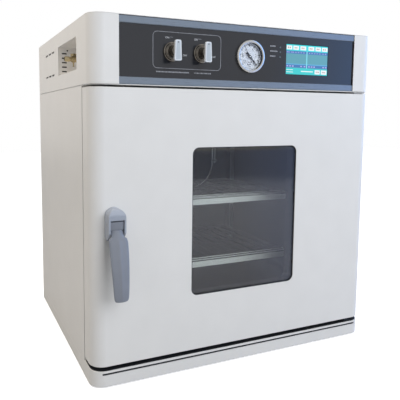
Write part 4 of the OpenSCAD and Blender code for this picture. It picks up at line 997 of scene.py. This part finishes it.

# %% [markdown]
# ## The dark sill under the door
# A black strip lies on the sill as painted shade, so that nothing bright shows under the door. It
# is a plane whose two front corners are rounded like the case's, given its thickness by Solidify. A
# second, narrow black strip closes the groove in the plinth from behind, as painted shade in the
# groove.

# %% Sill strip
SILL_WIDE, SILL_DEEP, SILL_CORNER, SILL_THICK = 660, 56, 26, 0.25
SILL_MIDDLE_Y, SILL_Z = 30, 31
# The sill strip's black is painted shade for the gap under the door.
sill = start("sill_shade_strip", bpy.ops.mesh.primitive_plane_add, size=1,
             location=at(0, SILL_MIDDLE_Y, SILL_Z))
sill.scale = (SILL_WIDE * MM, SILL_DEEP * MM, 1)
settle(sill)
pick(sill, "vertices", lambda p: p.y < at(0, SILL_MIDDLE_Y, 0).y)
edit(sill, bpy.ops.mesh.bevel, offset=SILL_CORNER * MM, segments=10, profile=0.5,
     affect="VERTICES")
thicken(sill, SILL_THICK)
finish(sill, RUBBER, "cabinet")
# The groove's black strip is painted shade inside the slot.
groove = block("groove_shade_strip", at(-311.5, 2.0, 21.5), at(311.5, 4.0, 28.5), 0.4)
finish(groove, RUBBER, "cabinet")
print("sill strip:", [round(v / MM) for v in sill.dimensions], "mm")

# %% [markdown]
# ## The hose connector's fittings
# The brass connector in the side recess ends in a ribbed union nut above and a thin drain below, on
# a thicker sleeve. All three are bodies of revolution, so each is one outline: the sleeve turns
# round X, the others round Z.

# %% Brass fittings
NOZZLE_AT = at(-311.5, 210, CONTROL_Z)
SLEEVE = [(4.4, -19.5), (5.0, -19.3), (6.0, -15.5), (5.0, -15.2), (6.1, -11), (5.1, -10.7),
          (5.1, -5), (6.5, -4.4), (6.5, 5.6), (4.4, 5.6), (4.4, -19.5)]
NUT = [(0, 4), (3.4, 4), (3.4, 6.0)]
for rib in range(3):
    NUT += [(radius, height + 1.9 * rib) for radius, height in ((6.6, 6.2), (6.6, 7.4), (5.8, 7.8))]
NUT += [(4.4, 12.0), (0, 12.0)]
DRAIN = [(0, -4), (2.8, -4), (2.6, -7), (1.5, -9), (1.2, -14.6), (2.0, -15.6), (0, -16.4)]
sleeve = turned("nozzle_sleeve", SLEEVE, NOZZLE_AT, SIDEWAYS, 40)
nut = turned("union_nut", NUT, NOZZLE_AT, UPWARDS, 40)
drain = turned("drain", DRAIN, NOZZLE_AT, UPWARDS, 24)
fittings = finish(join("brass_fittings", [sleeve, nut, drain]), BRASS, "cabinet")
print("brass fittings:", len(fittings.data.polygons), "faces")

# %% [markdown]
# ## Painted shade in the vents and the door gap
# Behind every group of vents a black sheet is painted shade, so a vent reads as a black slot. A
# narrow black strip is painted shade in the gap between the door and the case's left edge. Each is
# a bevelled strip; the head's right side gets copies of the left side's sheets.

# %% Vent shades, gap shade and screw
ACROSS = 659.8
VENT_SHADES_AT = [((-330.2, 312, 606), (-329.6, 431, 616)), ((-330.2, 312, 659), (-329.6, 431, 669)),
           ((-327.0, 273.8, 610), (-308.0, 274.4, 664))]
# Black sheets behind the vents: painted shade in the slots.
vent_shades = [block("screen", at(*low), at(*high), 0.15) for low, high in VENT_SHADES_AT]
vent_shades += [moved(copied(strip, "screen"), x_mm=ACROSS) for strip in vent_shades[:2]]
finish(join("vent_shade_sheets", vent_shades), BLACK, "cabinet")
# A black strip in the door's left gap: painted shade.
gap_shade = block("door_gap_shade_strip", at(-329.6, 57.2, 44), at(-323, 59.9, 564), 0.5)
finish(gap_shade, RUBBER, "cabinet")
SCREW_HEAD = [(0, 1.1), (1.0, 1.0), (1.7, 0.5), (1.7, 0), (0, 0)]
screw = turned("recess_screw", SCREW_HEAD, at(-311, 271.9, 663), FRONT, 24)
finish(screw, BLACK, "cabinet")
print(len(vent_shades), "vent_shades")

# %% [markdown]
# ## The shelves' front edges
# Each shelf ends in front in a plain strip with a few round bars behind it, which is what the eye
# finds first behind the glass. One bar is turned and laid across the shelf's top; its copies follow
# each other backwards.

# %% Shelf edges
SHELF_HALF, SHELF_FRONT = 200.8, 118.0
SHELVES = (("upper_shelf", 316.1, (8, 22, 40)), ("lower_shelf", 172.1, (8, 22)))
SHELF_BAR_UP = 14.6
SHELF_BAR = [(0, -SHELF_HALF), (0.7, -SHELF_HALF), (1.1, 0.5 - SHELF_HALF),
             (1.1, SHELF_HALF - 0.5), (0.7, SHELF_HALF), (0, SHELF_HALF)]
for shelf, foot, steps in SHELVES:
    strip = block("strip", at(-SHELF_HALF, SHELF_FRONT - 0.8, foot + 0.6),
                  at(SHELF_HALF, SHELF_FRONT + 0.4, foot + 13.6), 0.4)
    first = turned("bar", SHELF_BAR, at(0, SHELF_FRONT, foot + SHELF_BAR_UP), SIDEWAYS, 16)
    bars = [moved(copied(first, "bar"), y_mm=step) for step in steps]
    bpy.data.objects.remove(first)
    # The edges' pale matt finish is painted light.
    edge = finish(join(shelf + "_edge", [strip] + bars), PALE_LIT_STEEL, shelf, smooth_deg=40)
    print(edge.name, [round(v / MM) for v in edge.dimensions], "mm")

# %% [markdown]
# ## Studio
# The oven stands in a pale room. The camera and the glass see it white; as a lamp it is dimmer.
# What metal and gloss mirror is the same room with a cool window on its right, because a gloss
# black face shows only what stands in front of it.

# %% World
WHITE = (1.0, 1.0, 1.0, 1.0)
ROOM, ROOM_WINDOW = (0.85, 0.85, 0.86, 1.0), (0.80, 1.40, 2.7, 1.0)
ROOM_WINDOW_X = (-0.585, -0.70)
WORLD_LIGHT = 0.48


def seen_directly(tree):
    ray = add(tree, "ShaderNodeLightPath").outputs
    direct = combine(tree, ray["Is Camera Ray"], ray["Is Transmission Ray"], "MAXIMUM")
    return direct, ray["Is Glossy Ray"]


def from_the_right(tree, low, high, most=1.0):
    """Rises from nothing to its most as what is mirrored lies further to the right."""
    ray = add(tree, "ShaderNodeNewGeometry").outputs["Incoming"]
    towards = add(tree, "ShaderNodeSeparateXYZ", {"Vector": ray}).outputs["X"]
    rise = {"Value": towards, "From Min": low, "From Max": high, "To Max": most}
    return add(tree, "ShaderNodeMapRange", rise).outputs["Result"]


def add_world():
    world = bpy.data.worlds.new("studio")
    world.use_nodes = True
    tree = world.node_tree
    direct, glossy = seen_directly(tree)
    mirrored = blend(tree, from_the_right(tree, *ROOM_WINDOW_X), ROOM, ROOM_WINDOW)
    colour = blend(tree, glossy, WHITE, mirrored)
    seen = combine(tree, direct, glossy, "MAXIMUM")
    levels = {"Value": seen, "To Min": WORLD_LIGHT, "To Max": 1.0}
    strength = add(tree, "ShaderNodeMapRange", levels).outputs["Result"]
    feed(tree, tree.nodes["Background"], {"Color": colour, "Strength": strength})
    scene.world = world


add_world()
print("room lit")

# %% [markdown]
# ## Floor
# To the eye the floor is white, apart from the shadow under the oven. The light that it throws back
# is that of a mid grey, and gloss finds the cool window in it too.

# %% Floor
FLOOR_SIZE = 12.0
FLOOR_TO_LIGHT, FLOOR_TO_EYE = (0.28, 0.28, 0.28, 1.0), (0.95, 0.95, 0.95, 1.0)
FLOOR_WINDOW = (0.30, 0.46, 1.0, 1.0)
FLOOR_WINDOW_X, FLOOR_WINDOW_MOST = (-0.52, -0.62), 0.85
FLOOR_GLOW, FLOOR_MIRRORED = 0.62, 0.5


def add_floor():
    floor = start("floor", bpy.ops.mesh.primitive_plane_add, size=FLOOR_SIZE, location=(0, 0, 0))
    material, tree, shader, _ = start_material("pale_floor", "#fbfbfb", 0.9)
    direct, glossy = seen_directly(tree)
    mirrored = combine(tree, glossy, FLOOR_MIRRORED, "MULTIPLY")
    paleness = combine(tree, direct, mirrored, "MAXIMUM")
    colour = blend(tree, paleness, FLOOR_TO_LIGHT, FLOOR_TO_EYE)
    shine = blend(tree, glossy, WHITE, FLOOR_WINDOW)
    window = from_the_right(tree, *FLOOR_WINDOW_X, FLOOR_WINDOW_MOST)
    cool = combine(tree, window, glossy, "MULTIPLY")
    glow = combine(tree, direct, FLOOR_GLOW, "MULTIPLY")
    both = combine(tree, glow, cool, "MAXIMUM")
    feed(tree, shader, {"Base Color": colour, "Emission Color": shine, "Emission Strength": both})
    floor.data.materials.append(material)


add_floor()
print("floor laid")

# %% [markdown]
# ## Lamps
# A broad lamp in front and a warm one on the left give the two sides their tones. A weak one lights
# the top.

# %% Lamps
def add_lamp(name, at_point, target, size, power, colour):
    data = bpy.data.lights.new(name, "AREA")
    data.shape = "RECTANGLE"
    data.size, data.size_y = size
    data.energy = power
    data.color = linear(colour)[:3]
    lamp = bpy.data.objects.new(name, data)
    aim = (Vector(target) - Vector(at_point)).to_track_quat("-Z", "Y")
    lamp.matrix_world = Matrix.Translation(at_point) @ aim.to_matrix().to_4x4()
    lamp.visible_glossy = False
    scene.collection.objects.link(lamp)


add_lamp("front_softbox", (0.7, -2.6, 1.7), (0.0, -0.2, 0.40), (2.4, 2.0), 64, "#f2f6ff")
add_lamp("left_softbox", (-1.15, 0.05, 1.9), (-0.33, 0.0, 0.62), (1.0, 1.4), 21, "#fff0de")
add_lamp("top_softbox", (0.0, 0.0, 2.8), (0.0, 0.0, 0.7), (2.4, 2.4), 9, "#ffffff")
print(len(bpy.data.lights), "lamps")
